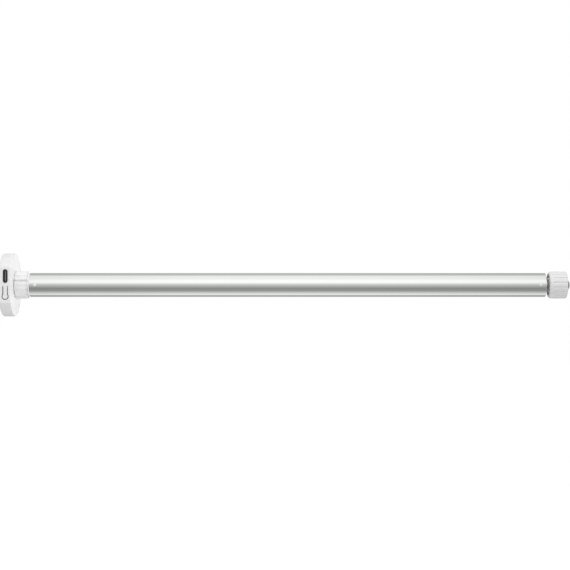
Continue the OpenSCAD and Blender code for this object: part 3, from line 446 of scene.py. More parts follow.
finishes = {
    "white_plastic": plastic("whiteMoulding", (0.852, 0.855, 0.853), (0.88, 0.882, 0.88),
                             drift=55.0, grain=2400.0, rough=0.4, roughDrift=0.06),
    "tube_metal": metal("brightTube", (0.85, 0.868, 0.848), (0.893, 0.912, 0.892), (5.0, 260.0, 260.0),
                        streak=8.0, cloud=30.0, rough=0.07, roughStreak=0.04, roughCloud=0.02,
                        relief=0.05, depth=0.00001),
    "screw_steel": metal("platedScrew", (0.5, 0.505, 0.51), (0.66, 0.665, 0.67), (900.0, 400.0, 400.0),
                         streak=3.0, cloud=400.0, rough=0.2, relief=0.15),
    "port_steel": metal("portSteel", (0.3, 0.3, 0.305), (0.44, 0.44, 0.445), (300.0, 60.0, 300.0),
                        streak=8.0, cloud=300.0, rough=0.3),
    "port_insulator": plastic("portGrey", (0.2, 0.2, 0.205), (0.25, 0.25, 0.255),
                              drift=300.0, grain=4000.0, rough=0.5, depth=0.00003),
    "circuit_board": boardFinish("solderMask", {
        "mask": (0.012, 0.1, 0.045), "maskOver": (0.03, 0.17, 0.08), "tin": (0.72, 0.7, 0.66),
        "tracks": 420.0, "trackWide": 0.14, "pads": 520.0, "padWide": 0.17, "padStray": 0.35,
        "rough": 0.32, "roughTrack": 0.08, "relief": 0.4, "depth": 0.00003}),
    "module_can": metal("screenCan", (0.56, 0.56, 0.55), (0.7, 0.7, 0.69), (200.0, 40.0, 200.0),
                        streak=10.0, rough=0.28),
    "black_plastic": plastic("blackMoulding", (0.018, 0.018, 0.019), (0.034, 0.034, 0.035), rough=0.48),
    "plunger_plastic": plastic("plungerMoulding", (0.5, 0.49, 0.45), (0.57, 0.56, 0.52),
                               drift=500.0, grain=5000.0, rough=0.42, depth=0.00002),
    "signal_insulation": wrapped("signalWire", (0.5, 0.42, 0.04), (0.62, 0.54, 0.08), bands=90.0),
    "battery_insulation": wrapped("batteryWire", (0.42, 0.012, 0.012), (0.55, 0.03, 0.026)),
    "motor_insulation": wrapped("motorWire", (0.5, 0.4, 0.03), (0.64, 0.53, 0.07)),
    "cell_wrap": wrapped("cellWrap", (0.015, 0.06, 0.2), (0.03, 0.09, 0.27),
                         bands=14.0, waver=3.0, drift=60.0, rough=0.26, depth=0.00004),
    "sleeve_film": wrapped("shrunkSleeve", (0.01, 0.09, 0.07), (0.02, 0.13, 0.1),
                           along="DIAGONAL", bands=22.0, waver=6.0, drift=90.0, rough=0.22, relief=0.15,
                           depth=0.00006),
    "link_nickel": metal("nickelStrip", (0.58, 0.56, 0.52), (0.7, 0.68, 0.64), (60.0, 200.0, 40.0)),
    "magnet_ferrite": plastic("ferrite", (0.03, 0.03, 0.032), (0.06, 0.06, 0.062),
                              drift=200.0, rough=0.6, roughGrain=0.2, relief=0.35, depth=0.00005),
    "motor_steel": metal("motorSteel", (0.5, 0.51, 0.53), (0.64, 0.65, 0.67), (60.0, 200.0, 200.0),
                         cloud=90.0),
    "copper": wrapped("woundCopper", (0.45, 0.16, 0.06), (0.62, 0.26, 0.12),
                      bands=900.0, waver=1.0, drift=200.0, rough=0.26, metal=1.0, relief=0.4, depth=0.00006),
    "gear_brass": metal("cutBrass", (0.55, 0.4, 0.14), (0.68, 0.52, 0.22), (40.0, 500.0, 500.0),
                        streak=4.0, cloud=300.0, relief=0.18),
    "gearbox_nylon": plastic("gearboxNylon", (0.62, 0.6, 0.53), (0.7, 0.68, 0.61), drift=90.0),
    "damper_rubber": plastic("damperRubber", (0.015, 0.015, 0.016), (0.03, 0.03, 0.031),
                             drift=150.0, grain=1800.0, rough=0.72, relief=0.4, depth=0.00006),
}

# finishes of single pieces and of their inner faces; some of them paint light or shade into their colour, as
# said at each

trims = {
    # painted light: a whiter white than the head's moulding, standing in for the extra light on the flange
    # beside the tube
    "plug": plastic("plugPaintedLight", (0.925, 0.928, 0.926), (0.95, 0.952, 0.95), drift=90.0, rough=0.36),
    # painted shade: dark grey for the walls inside the button's slot, standing in for the shade in that
    # narrow gap
    "gap": plastic("paintedGapShade", (0.1, 0.1, 0.102), (0.14, 0.14, 0.142), drift=200.0, rough=0.55),
    "contacts": metal("contactPlating", (0.72, 0.55, 0.24), (0.82, 0.66, 0.34), (100.0, 600.0, 100.0),
                      cloud=500.0, rough=0.2, depth=0.00001),
    # painted shade: steel far darker than the plated cover screws, standing in for the shade and dark
    # reflection in the middle of the screw's head
    "driveScrew": metal("screwPaintedShade", (0.13, 0.13, 0.135), (0.2, 0.2, 0.205), (900.0, 400.0, 400.0),
                        streak=3.0, cloud=400.0, rough=0.26, relief=0.15),
    # satin metal, partly the rivets' own finish and partly painted highlight: its tone is raised near white
    # with a large diffuse share so each head shows a bright dot
    "rivets": metal("rivetSatinPaintedHighlight", (0.9, 0.905, 0.9), (0.95, 0.955, 0.95), (400.0, 400.0, 400.0),
                    streak=3.0, cloud=500.0, metal=0.4, rough=0.34, relief=0.1, depth=0.00001),
    # painted shade: steel darker than the motor's, standing in for the shade in the gap between the tube's
    # end and the wheel
    "shaft": metal("shaftPaintedShade", (0.32, 0.325, 0.33), (0.42, 0.425, 0.43), (60.0, 200.0, 200.0), cloud=90.0),
}
white = finishes["white_plastic"]
print("finishes:", len(finishes) + len(trims))


# charging port: rolled metal shell, and the tongue with its contacts

shellLow, shellHigh = nodeBox("port_shell")
portSet = {
    "x": (shellLow[0] + shellHigh[0]) / 2, "z": (shellLow[2] + shellHigh[2]) / 2, "high": 8.94, "wide": 3.16,
    "mouth": shellLow[1], "back": shellHigh[1], "wall": 0.3, "lip": 0.1, "blockDeep": 2.2, "blockGap": 0.05,
    "tongueFrom": 0.7, "tongueHigh": 6.7, "tongueThick": 0.7, "noseEdge": 0.2, "squareness": 0.25,
    "collarThick": 1.3, "collarHigh": 7.2, "collarDeep": 1.4, "sink": 0.1, "contacts": 12, "pitch": 0.5,
    "contactHigh": 0.26, "contactFrom": 0.5, "contactTo": 3.4, "contactLift": 0.02, "contactRoot": 0.05,
    "around": 96, "barAround": 64,
}


def slotGrid(profile, s):
    # upright slot with round ends: two half circles moved apart, with depth y and added radius from the line
    t = turns(s["around"]) + math.pi / s["around"]
    r = s["wide"] / 2 + profile[:, 1:]
    apart = np.sign(np.sin(t)) * (s["high"] - s["wide"]) / 2
    return gridOf(s["x"] + r * np.cos(t), profile[:, :1], s["z"] + r * np.sin(t) + apart)


def makePortShell(s):
    # slot outline carried along y: along the outside, round the rolled lip and back along the inside
    lip, wall = s["lip"], s["wall"]
    over = bend(s["mouth"] + lip, -lip, lip, 90, 180, 6)
    under = bend(s["mouth"] + lip, lip - wall, lip, 180, 270, 6)
    line = strung((s["back"], 0), over, under, (s["back"], -wall))
    return meshOf("shell", skin(slotGrid(line, s), loop=True))


def flatBar(s, start, end, high, thick):
    # squared section carried along y, drawn in by a quarter circle at its nose
    c, k = squared(turns(s["barAround"]), s["squareness"])
    e = s["noseEdge"]
    line = strung(bend(start + e, e, e, 180, 270, 5), (end, 0))
    y, inset = line[:, :1], line[:, 1:]
    return capped(gridOf(s["x"] + c * (thick / 2 - inset), y, s["z"] + k * (high / 2 - inset)))


def contactRow(s, side, start):
    # one thin box repeated at equal steps along z, on one side of the tongue
    corners = np.array([(x, y, z) for x in (0, 1) for y in (0, 1) for z in (-0.5, 0.5)])
    quads = np.array([(0, 1, 3, 2), (4, 6, 7, 5), (0, 4, 5, 1), (2, 3, 7, 6), (0, 2, 6, 4), (1, 5, 7, 3)])
    size = (side * (s["contactLift"] + s["contactRoot"]), s["contactTo"] - s["contactFrom"], s["contactHigh"])
    first = (s["x"] + side * (s["tongueThick"] / 2 - s["contactRoot"]), start + s["contactFrom"], s["z"])
    count = np.arange(s["contacts"])[:, None, None]
    steps = (count - (s["contacts"] - 1) / 2) * (0, 0, s["pitch"])
    return (first + corners * size + steps).reshape(-1, 3), (quads + len(corners) * count).reshape(-1, 4)


def makePortTongue(s):
    # block that fills the shell's back, the tongue with its collar, and a row of contacts on each side
    less = -s["wall"] - s["blockGap"]
    root, start = s["back"] - s["blockDeep"], s["mouth"] + s["tongueFrom"]
    end = root + s["sink"]
    return meshOf("tongue", joined([
        capped(slotGrid(strung((root, less), (s["back"], less)), s)),
        flatBar(s, start, end, s["tongueHigh"], s["tongueThick"]),
        flatBar(s, end - s["collarDeep"], end, s["collarHigh"], s["collarThick"]),
        contactRow(s, -1, start), contactRow(s, 1, start)]))


def onContact(p, s):
    # faces that stand out of the tongue's sides, short of its collar
    start, spare = s["mouth"] + s["tongueFrom"], s["contactLift"] / 2
    out = np.abs(p[:, 0] - s["x"]) > (s["tongueThick"] + s["contactLift"]) / 2
    return out & (p[:, 1] > start + s["contactFrom"] - spare) & (p[:, 1] < start + s["contactTo"] + spare)


addPiece("portShell", makePortShell(portSet), "housing", "port_shell", finishes["port_steel"])
addPiece("portTongue", makePortTongue(portSet), "housing", "port_tongue",
         finishes["port_insulator"], trims["contacts"], lambda p: onContact(p, portSet))
print("port built")


# head: a round cup with a flat front, its end cover with the bracket socket, and the button in its flat

baseLow, baseHigh = nodeBox("head_base")
coverHigh = nodeBox("head_cover")[1]
buttonLow, buttonHigh = nodeBox("setting_button")
headSet = {
    "radius": baseHigh[1], "flat": -baseLow[1] - hair, "cornerRound": 0.5, "wall": 1.6,
    "seamAt": baseLow[0], "seamEdge": 0.12, "floorAt": 6.8, "depth": 8.0, "edge": 0.8,
    "journal": 6.5, "stub": 5.75, "flangeAt": 16.9, "stubEnd": baseHigh[0], "wireBore": 3.0,
    "postAngles": (0.0, 105.0, -105.0), "postAt": 15.5, "postR": 2.5, "postHole": 1.0, "postHoleEnd": 6.5,
    "portGap": 0.1, "portLead": 0.2, "past": 1.0, "around": 960, "postAround": 64,
}
coverSet = {
    "socketR": 4.0, "socketEnd": 4.2, "socketLead": 0.25, "keyWide": 2.4, "keyHigh": 10.8,
    "hubR": 6.6, "hubEnd": coverHigh[0], "lipOut": 1.7, "lipIn": 2.7, "lipEnd": 2.2,
    "sinkR": 2.1, "sinkShank": 1.05, "past": 1.0,
}
buttonSet = {
    "x": (buttonLow[0] + buttonHigh[0]) / 2, "z": -7.5, "front": buttonLow[1] + hair, "back": buttonHigh[1],
    "padR": 1.75, "padEdge": 0.2, "dish": 0.12, "dishR": 1.3, "wide": 2.5, "recess": 0.03, "tongueEnd": 1.2,
    "squareness": 0.22, "rootZ": -0.8, "rootFrom": 12.0, "rootEase": 0.2, "hingeR": 0.4, "hingeGap": 0.05,
    # the slot's walls get painted shade between these depths behind the front, and this far beside the button
    "slot": 0.5, "paintedShadeReach": 0.6, "paintedWallShade": (0.05, 1.55), "paintedSideShade": (0.22, 0.95),
    "around": 72, "hingeAround": 32, "dishSteps": 10,
}


def headOutline(turn, inset, s):
    # radius of the head at t: the rim's radius or flat / cos t, whichever is smaller, rounded where they meet
    flat = flatCut(np.cos(turn), s["flat"] - inset, beyond * s["radius"])
    return softMin(s["radius"] - inset + 0 * turn, flat, s["cornerRound"])


def outlined(profile, turn, s):
    # a line of (x, inset) points carried round the head's outline
    return rings(profile[:, :1], headOutline(turn, profile[:, 1:], s), turn)


def postPlaces(s):
    a = np.radians(s["postAngles"])
    return s["postAt"] * np.column_stack([np.cos(a), np.sin(a)])


def keyholeGrid(depths, b):
    # straight sides down from the root that run into a circle round the pad, at each depth y
    r, half = b["padR"] + b["slot"], b["wide"] / 2 + b["slot"]
    neck = math.acos(half / r)
    t = np.linspace(neck, -math.pi - neck, b["around"])
    x = np.concatenate([b["x"] + r * np.cos(t), [b["x"] - half, b["x"] + half]])
    z = np.concatenate([b["z"] + r * np.sin(t), [b["rootZ"], b["rootZ"]]])
    return gridOf(x, np.array(depths)[:, None], z)


def makeHeadBase(s, b, port):
    # outline carried along x from the seam round the end edge, circles down the neck and up the bore, and the
    # cup's inside; hollow posts are added, and the port's opening, the button's slot and its hinge cut out
    turn = turns(s["around"])
    e, n, past = s["edge"], s["seamEdge"], s["past"]
    outside = strung(bend(s["seamAt"] + n, n, n, 180, 270, 4), bend(s["depth"] - e, e, e, -90, 0, 9))
    neck = strung((s["depth"], s["journal"]), (s["flangeAt"], s["journal"]), (s["flangeAt"], s["stub"]),
                  (s["stubEnd"], s["stub"]), (s["stubEnd"], s["wireBore"]), (s["floorAt"], s["wireBore"]))
    cup = strung((s["floorAt"], s["wall"]), (s["seamAt"], s["wall"]))
    grid = np.concatenate([outlined(outside, turn, s), turned(neck, turn), outlined(cup, turn, s)])
    post = strung((s["postHoleEnd"], 0), (s["postHoleEnd"], s["postHole"]), (s["seamAt"], s["postHole"]),
                  (s["seamAt"], s["postR"]), (s["floorAt"], s["postR"]), (s["floorAt"], 0))
    posts = [skin(turned(post, turns(s["postAround"]), place)) for place in postPlaces(s)]
    front, inside = -s["flat"], -s["flat"] + s["wall"]
    gap, lead = s["portGap"], s["portLead"]
    opening = strung((front - past, gap + lead + past), (front + lead, gap), (inside + past, gap))
    keyhole = keyholeGrid((front - past, inside + past), b)
    reach, seatR = b["wide"] / 2 + b["hingeGap"], b["hingeR"] + b["hingeGap"]
    seat = strung((b["x"] - reach, seatR), (b["x"] + reach, seatR))
    hinge = turned(seat, turns(b["hingeAround"]), ((b["front"] + b["back"]) / 2, b["rootZ"]))
    tools = [capped(slotGrid(opening, port)), capped(keyhole), capped(hinge)]
    return carve(joined([skin(grid, loop=True), *posts]), tools)


def makeHeadCover(s, c):
    # from the middle of the socket's floor out over the face and the rim, then back under the lip to the hub
    turn = turns(s["around"])
    e, n = s["edge"], s["seamEdge"]
    socket = strung((c["socketEnd"], 0), (c["socketEnd"], c["socketR"]), (c["socketLead"], c["socketR"]),
                    (0, c["socketR"] + c["socketLead"]))
    rim = strung(bend(e, e, e, 180, 270, 9), bend(s["seamAt"] - n, n, n, -90, 0, 4),
                 (s["seamAt"], c["lipOut"]), (c["lipEnd"], c["lipOut"]),
                 (c["lipEnd"], c["lipIn"]), (s["seamAt"], c["lipIn"]))
    hub = strung((s["seamAt"], c["hubR"]), (c["hubEnd"], c["hubR"]), (c["hubEnd"], 0))
    cover = skin(np.concatenate([turned(socket, turn), outlined(rim, turn, s), turned(hub, turn)]))
    sink = strung((-c["past"], c["sinkR"]), (0, c["sinkR"]), (c["sinkR"] - c["sinkShank"], c["sinkShank"]),
                  (c["lipEnd"] + c["past"], c["sinkShank"]))
    tools = [capped(boxGrid((-c["past"], c["socketEnd"]), c["keyWide"], c["keyHigh"]))]
    tools += [capped(turned(sink, turns(s["postAround"]), place)) for place in postPlaces(s)]
    return carve(cover, tools)


def makeButton(b):
    # tongue: squared sections carried down from a round root, eased behind it so that the tongue can turn
    # pad: a line of (r, y) points turned about an axis along y, its middle sunk by dish (1 - (r / R)^2)
    turn = turns(b["around"])
    across, through = squared(turn, b["squareness"])
    half, middle = (b["back"] - b["front"]) / 2, (b["back"] + b["front"]) / 2
    root = bend(b["rootZ"], 0, b["hingeR"], b["rootFrom"], 90, 5)
    flat = half - b["recess"]
    down = ((b["rootZ"] - b["rootEase"], flat), (b["z"] + b["tongueEnd"], flat))
    line = strung(root, (b["rootZ"] - hair, flat), *down)
    behind = strung(root, (b["rootZ"] - hair, b["hingeR"]), *down)
    thick = np.where(through > 0, behind[:, 1:], line[:, 1:])
    tongue = gridOf(b["x"] + across * b["wide"] / 2, middle + through * thick, line[:, :1])
    r = np.linspace(0, b["dishR"], b["dishSteps"])
    dish = np.column_stack([r, b["front"] + b["dish"] * (1 - (r / b["dishR"]) ** 2)])
    e = b["padEdge"]
    edge = bend(b["padR"] - e, b["front"] + e, e, -90, 0, 7)
    side = strung(dish, edge, (b["padR"], b["back"]), (0, b["back"]))
    pad = gridOf(b["x"] + side[:, :1] * np.cos(turn), side[:, 1:], b["z"] + side[:, :1] * np.sin(turn))
    return carve(capped(tongue), [skin(pad)], "UNION")


def inGap(p, b, depths):
    # faces on the walls of the button's slot, between two depths behind the front, which get painted shade
    deep, reach = p[:, 1] - b["front"], b["padR"] + b["paintedShadeReach"]
    beside = np.abs(p[:, 0] - b["x"]) < reach
    beneath = (p[:, 2] < b["rootZ"] + b["hingeR"]) & (p[:, 2] > b["z"] - reach)
    return (deep > depths[0]) & (deep < depths[1]) & beside & beneath


# the walls of the button's slot, in the head and on the button, take the painted shade
addPiece("headBase", makeHeadBase(headSet, buttonSet, portSet), "housing", "head_base",
         white, trims["gap"], lambda p: inGap(p, buttonSet, buttonSet["paintedWallShade"]))
addPiece("headCover", makeHeadCover(headSet, coverSet), "housing", "head_cover", white)
addPiece("settingButton", makeButton(buttonSet), "setting_button", "setting_button",
         white, trims["gap"], lambda p: inGap(p, buttonSet, buttonSet["paintedSideShade"]))
print("head built")


# crown and drive wheel: fluted rims on round bodies

crownLow, crownHigh = nodeBox("crown_ring")
wheelLow, wheelHigh = nodeBox("drive_wheel")
ribSet = {"rim": crownHigh[2], "fluteAt": 9.3, "fluteR": 0.7, "crestRound": 0.16, "around": 1152}
crownSet = {
    "from": crownLow[0], "to": crownHigh[0], "edge": 0.45, "backEdge": 0.15, "bore": 6.54, "lead": 0.25,
    "ribs": 16, "slotAngle": 19.2, "slotWide": 1.0, "slotDeep": 1.2, "slotSoft": 0.08,
}
wheelSet = {
    "from": wheelLow[0], "to": wheelHigh[0], "band": 2.0, "bandR": 8.95, "edge": 1.5, "endEdge": 0.8,
    "runOut": 0.7, "ribs": 18, "hollowDeep": 5.6, "hollowR": 7.05, "hubR": 4.8, "boreR": 2.55,
    "boreFlat": 2.05, "lead": 0.2, "runOutSteps": 7,
}


def fluted(turn, limit, count, first, s):
    # flutes cut by round bars of radius f set on a circle of radius a: r = a cos d - sqrt(f^2 - (a sin d)^2),
    # with d the angle from the nearest flute, and never above the limit
    step = 2 * math.pi / count
    d = (turn - first + step / 2) % step - step / 2
    side = s["fluteAt"] * np.sin(d)
    deep = np.sqrt(np.maximum(s["fluteR"] ** 2 - side ** 2, 0))
    cut = np.where(deep > 0, s["fluteAt"] * np.cos(d) - deep, beyond * s["rim"])
    return softMin(limit + 0 * turn, cut, s["crestRound"])


def makeCrown(s, r):
    # fluted section carried along x between rounded edges, with one deep slot, and back along the bore
    turn = turns(r["around"])
    slotAt = math.radians(s["slotAngle"])
    off = np.abs((turn - slotAt + math.pi) % (2 * math.pi) - math.pi) * r["rim"]
    inSlot = smooth((s["slotWide"] / 2 + s["slotSoft"] / 2 - off) / s["slotSoft"])
    e, f = s["edge"], s["backEdge"]
    outside = strung(bend(s["from"] + f, r["rim"] - f, f, 180, 90, 7),
                     bend(s["to"] - e, r["rim"] - e, e, 90, 0, 7))
    ribs = fluted(turn, outside[:, 1:], s["ribs"], slotAt, r)
    section = ribs + (np.minimum(ribs, r["rim"] - s["slotDeep"]) - ribs) * inSlot
    bore, lead = s["bore"], s["lead"]
    inside = strung((s["to"], bore + lead), (s["to"] - lead, bore),
                    (s["from"] + lead, bore), (s["from"], bore + lead))
    grid = np.concatenate([rings(outside[:, :1], section, turn), turned(inside, turn)])
    return meshOf("crown", skin(grid, loop=True))


def makeWheel(s, r):
    # plain band, flutes that ease in over the run-out, the end edge, the bore r = min(R, flat / sin t),
    # and the hollow round the hub
    turn = turns(r["around"])
    first = math.pi / s["ribs"]
    e, f, lead = s["edge"], s["endEdge"], s["lead"]
    start, hollowTo = s["from"] + s["band"], s["from"] + s["hollowDeep"]
    band = bend(s["from"] + e, s["bandR"] - e, e, 180, 90, 10)
    u = np.linspace(0, 1, s["runOutSteps"])[:, None]
    easing = s["bandR"] + (fluted(turn, r["rim"], s["ribs"], first, r) - s["bandR"]) * smooth(u)
    end = bend(s["to"] - f, r["rim"] - f, f, 90, 0, 9)
    bore = np.minimum(s["boreR"], flatCut(np.sin(turn), s["boreFlat"], r["rim"]))
    boreX = np.array([s["to"], s["to"] - lead, s["from"] + lead, s["from"]])[:, None]
    boreLead = np.array([lead, 0, 0, lead])[:, None]
    hubR, hollowR = s["hubR"], s["hollowR"]
    hollow = strung((s["from"], hubR - lead), (s["from"] + lead, hubR), (hollowTo, hubR),
                    (hollowTo, hollowR), (s["from"] + lead, hollowR), (s["from"], hollowR + lead))
    return meshOf("wheel", skin(np.concatenate([
        turned(band, turn),
        rings(start + u * s["runOut"], easing, turn),
        rings(end[:, :1], fluted(turn, end[:, 1:], s["ribs"], first, r), turn),
        rings(boreX, bore + boreLead, turn),
        turned(hollow, turn)]), loop=True))


addPiece("crownRing", makeCrown(crownSet, ribSet), "crown", "crown_ring", white)
addPiece("driveWheel", makeWheel(wheelSet, ribSet), "drive", "drive_wheel", white)
print("crown and wheel built")


# bright tube, the plug with its white flange, and the rivets

tubeLow, tubeHigh = nodeBox("motor_tube")
plugLow, plugHigh = nodeBox("tube_plug")
rivetLow, rivetHigh = nodeBox("tube_rivets")
tubeSet = {
    "from": tubeLow[0], "to": tubeHigh[0], "outer": tubeHigh[2], "inner": 7.5, "edge": 0.14, "even": 1.0,
    "steps": 36, "around": 288,
}
plugSet = {
    "from": plugLow[0], "to": tubeLow[0], "end": plugHigh[0], "flangeR": plugHigh[2], "edge": 0.25,
    "plugR": 7.45, "neckR": 5.8, "neckEnd": 27.0, "wireBore": 3.0, "slotFrom": 28.8, "slotWide": 1.2,
    "past": 1.0, "around": 288,
}
rivetSet = {
    "headR": 1.0, "ends": (rivetLow[0], rivetHigh[0]), "angles": (0.0, 120.0, 240.0), "tubeR": tubeHigh[2],
    "crown": 0.29, "crownPower": 0.6, "sink": 0.02, "shank": 0.7, "root": 6.0, "hole": 0.75,
    "around": 64, "holeAround": 48, "crownSteps": 14,
}


def level(x, r):
    # points at one radius
    return np.column_stack([x, np.full(x.shape, r)])


def makeTube(s):
    # a line along the outside with rounded ends, and back along the inside, carried round the axis
    e = s["edge"]
    x = np.linspace(s["from"] + s["even"], s["to"] - s["even"], s["steps"])
    line = strung(bend(s["from"] + e, s["outer"] - e, e, 180, 90, 6), level(x, s["outer"]),
                  bend(s["to"] - e, s["outer"] - e, e, 90, 0, 6),
                  (s["to"], s["inner"]), level(x[::-1], s["inner"]), (s["from"], s["inner"]))
    return meshOf("tube", skin(turned(line, turns(s["around"])), loop=True))


def radial(angle, at):
    # directions along the tube, round it and out of it at an angle from the front
    a = math.radians(angle)
    return [[1, 0, 0], [0, math.sin(a), math.cos(a)], [0, -math.cos(a), math.sin(a)]], (at, 0, 0)


def makePlug(s, v):
    # flange with rounded edges, plug and stepped bore turned about the axis, less the slot and rivet holes
    e = s["edge"]
    line = strung((s["from"], s["neckR"]), bend(s["from"] + e, s["flangeR"] - e, e, 180, 90, 6),
                  bend(s["to"] - e, s["flangeR"] - e, e, 90, 0, 6), (s["to"], s["plugR"]),
                  (s["end"], s["plugR"]), (s["end"], s["wireBore"]),
                  (s["neckEnd"], s["wireBore"]), (s["neckEnd"], s["neckR"]))
    slotHigh = 4 * s["plugR"]  # past the plug on both sides
    tools = [capped(boxGrid((s["slotFrom"], s["end"] + s["past"]), s["slotWide"], slotHigh))]
    hole = capped(pinGrid(v["hole"], (v["root"] - v["sink"], v["tubeR"] + s["past"]), v["holeAround"]))
    tools += [moved(hole, *radial(angle, v["ends"][0] + v["headR"])) for angle in v["angles"]]
    return carve(skin(turned(line, turns(s["around"])), loop=True), tools)


def makeRivets(s):
    # head over the round tube, for u from its middle to its edge: w = sqrt(R^2 - v^2) + crown (1 - u^2)^p,
    # on a straight shank
    t = turns(s["around"])
    u = np.linspace(0, 1, s["crownSteps"])
    reach = np.concatenate([s["headR"] * u, [s["headR"], s["shank"]]])[:, None]
    lift = np.concatenate([s["crown"] * (1 - u * u) ** s["crownPower"], [-s["sink"], -s["sink"]]])[:, None]
    v = reach * np.sin(t)
    head = gridOf(reach * np.cos(t), v, np.sqrt(s["tubeR"] ** 2 - v * v) + lift)
    one = capped(np.concatenate([head, pinGrid(s["shank"], [s["root"]], s["around"])]))
    places = (s["ends"][0] + s["headR"], s["ends"][1] - s["headR"])
    return meshOf("rivets", joined([moved(one, *radial(angle, x)) for x in places for angle in s["angles"]]))


addPiece("motorTube", makeTube(tubeSet), "housing", "motor_tube", finishes["tube_metal"])
addPiece("tubePlug", makePlug(plugSet, rivetSet), "housing", "tube_plug", trims["plug"])
addPiece("tubeRivets", makeRivets(rivetSet), "housing", "tube_rivets", trims["rivets"],
         sharp=50.0)
print("tube built")


# screws with cross recesses

driveLow, driveHigh = nodeBox("drive_screw")
headScrewLow, headScrewHigh = nodeBox("head_screws")
driveScrewSet = {
    "base": wheelHigh[0], "tipAt": driveLow[0], "top": driveHigh[0] - hair, "headR": driveHigh[2],
    "edge": 1.6, "edgeHigh": 1.8, "edgeTo": 10.0, "shank": 1.2, "tip": 0.3, "lead": 0.1,
    "crossLong": 2.8, "crossWide": 0.8, "crossDeep": 1.1, "crossSlope": 0.13, "crossEase": 0.84,
    "around": 240, "faceSteps": 44,
}
coverScrewSet = {
    "face": headScrewLow[0], "end": headScrewHigh[0], "headR": 1.9, "lead": 0.06, "shank": 0.95, "tip": 0.4,
    "crossLong": 2.2, "crossWide": 0.5, "crossDeep": 0.55, "crossSlope": 0.08, "crossEase": 0.66,
    "around": 200, "faceSteps": 40,
}


def crossDepth(reach, turn, s):
    # two bars across each other with sloping sides, shallower towards their ends
    u, v = np.abs(reach * np.cos(turn)), np.abs(reach * np.sin(turn))
    slope = s["crossSlope"]

    def bar(along, across):
        side = smooth((s["crossWide"] / 2 + slope / 2 - across) / slope)
        return side * smooth((s["crossLong"] / 2 - along) / s["crossEase"])

    return s["crossDeep"] * np.maximum(bar(u, v), bar(v, u))


def makeDriveScrew(s):
    # shank and oval head turned about the axis, closed by rings towards the middle that sink into the cross
    turn = turns(s["around"])
    flatR, tip = s["headR"] - s["edge"], s["tipAt"]
    side = strung((tip, 0), (tip, s["shank"] - s["tip"]), (tip + s["tip"], s["shank"]),
                  (s["base"], s["shank"]), (s["base"], s["headR"] - s["lead"]),
                  (s["base"] + s["lead"], s["headR"]),
                  bend(s["top"] - s["edgeHigh"], flatR, (s["edgeHigh"], s["edge"]), 90, s["edgeTo"], 9))
    reach = np.linspace(flatR, 0, s["faceSteps"])[:, None]
    face = rings(s["top"] - crossDepth(reach, turn, s), reach, turn)
    return meshOf("screw", skin(np.concatenate([turned(side, turn), face])))


def makeCoverScrews(s, h):
    # rings out from the middle of the crossed face, then the cone and the shank; one screw for each post
    turn = turns(s["around"])
    reach = np.linspace(0, s["headR"] - s["lead"], s["faceSteps"])[:, None]
    face = rings(s["face"] + crossDepth(reach, turn, s), reach, turn)
    body = strung((s["face"] + s["lead"], s["headR"]), (s["face"] + s["headR"] - s["shank"], s["shank"]),
                  (s["end"] - s["tip"], s["shank"]), (s["end"], s["shank"] - s["tip"]), (s["end"], 0))
    one = skin(np.concatenate([face, turned(body, turn)]))
    return meshOf("screws", joined([moved(one, np.eye(3), (0, *place)) for place in postPlaces(h)]))


# the drive screw takes the darkened steel, painted shade
addPiece("driveScrew", makeDriveScrew(driveScrewSet), "drive", "drive_screw",
         trims["driveScrew"])
addPiece("coverScrews", makeCoverScrews(coverScrewSet, headSet), "housing", "head_screws",
         finishes["screw_steel"])
print("screws built")


# the other nodes keep their own shape and take the finish of their slot, or one of their own

# the output shaft takes the darker steel, painted shade in the gap
ownFinish = {"output_shaft": trims["shaft"]}
standIns = {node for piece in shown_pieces() for node in piece.get("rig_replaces", [])}
dressed = [part for part in frame["record"]["subparts"] if part["node"] not in standIns]
for part in dressed:
    for place in frame["nodes"][part["node"]].material_slots:
        place.material = ownFinish.get(part["node"], finishes[part["material_slot"]])
print("nodes dressed:", len(dressed))


# studio: pale floor, even white surroundings, soft lamps, and a grey sweep that the tube mirrors

worldSet = {"ambient": 0.68, "seen": 1.0}
floorSet = {
    "z": -0.25, "middle": 0.19, "half": 6.0, "cells": 8, "low": 0.7722, "tone": 0.78, "grain": 40.0,
    "grainGain": 0.3, "glow": 0.835, "lit": 0.25,
}
lampSet = {
    # a broad light from above, and narrow ones on the head from the right, from behind and from below
    "key": {"place": (0.19, -0.5, 1.1), "aim": (0.19, 0.0, 0.0), "size": (1.6, 0.7), "power": 5.8,
            "spread": 180.0},
    "side": {"place": (0.6, -0.14, 0.0), "aim": (0.01, 0.0, 0.0), "size": (0.06, 0.06), "power": 0.0062,
             "spread": 14.0},
    "rear": {"place": (0.6, 0.14, -0.02), "aim": (0.01, 0.0, 0.0), "size": (0.06, 0.06), "power": 0.0065,
             "spread": 14.0},
    "fill": {"place": (0.05, -0.9, -0.15), "aim": (0.012, 0.0, 0.0), "size": (0.2, 0.2), "power": 0.0125,
             "spread": 24.0},
}
sweepSet = {
    "radius": 0.21, "half": 1.6, "middle": 0.188, "reach": 0.21, "fall": 0.085, "level": 1.017, "around": 180,
    # brightness by the angle round the tube, in degrees from the camera's side upwards
    "tones": (
        (-180, 0.5), (-118, 0.42), (-106, 0.9), (-97, 0.88),  # low bright strip
        (-56, 0.34), (-34, 0.275), (-20, 0.39), (5, 0.67),  # dark strip below the middle
        (22, 1.06), (38, 1.12), (54, 1.0),  # bright strip above the middle
        (78, 0.925), (94, 0.92), (112, 0.54), (180, 0.5),  # pale top that ends at the back
    ),
}


def seenDirectly(sheet):
    # 1 for rays from the camera, from mirrors and through glass
    path = sheet.node("ShaderNodeLightPath", None, None, "Is Camera Ray")
    return (path + path.other("Is Glossy Ray") + path.other("Is Transmission Ray")).clamped()


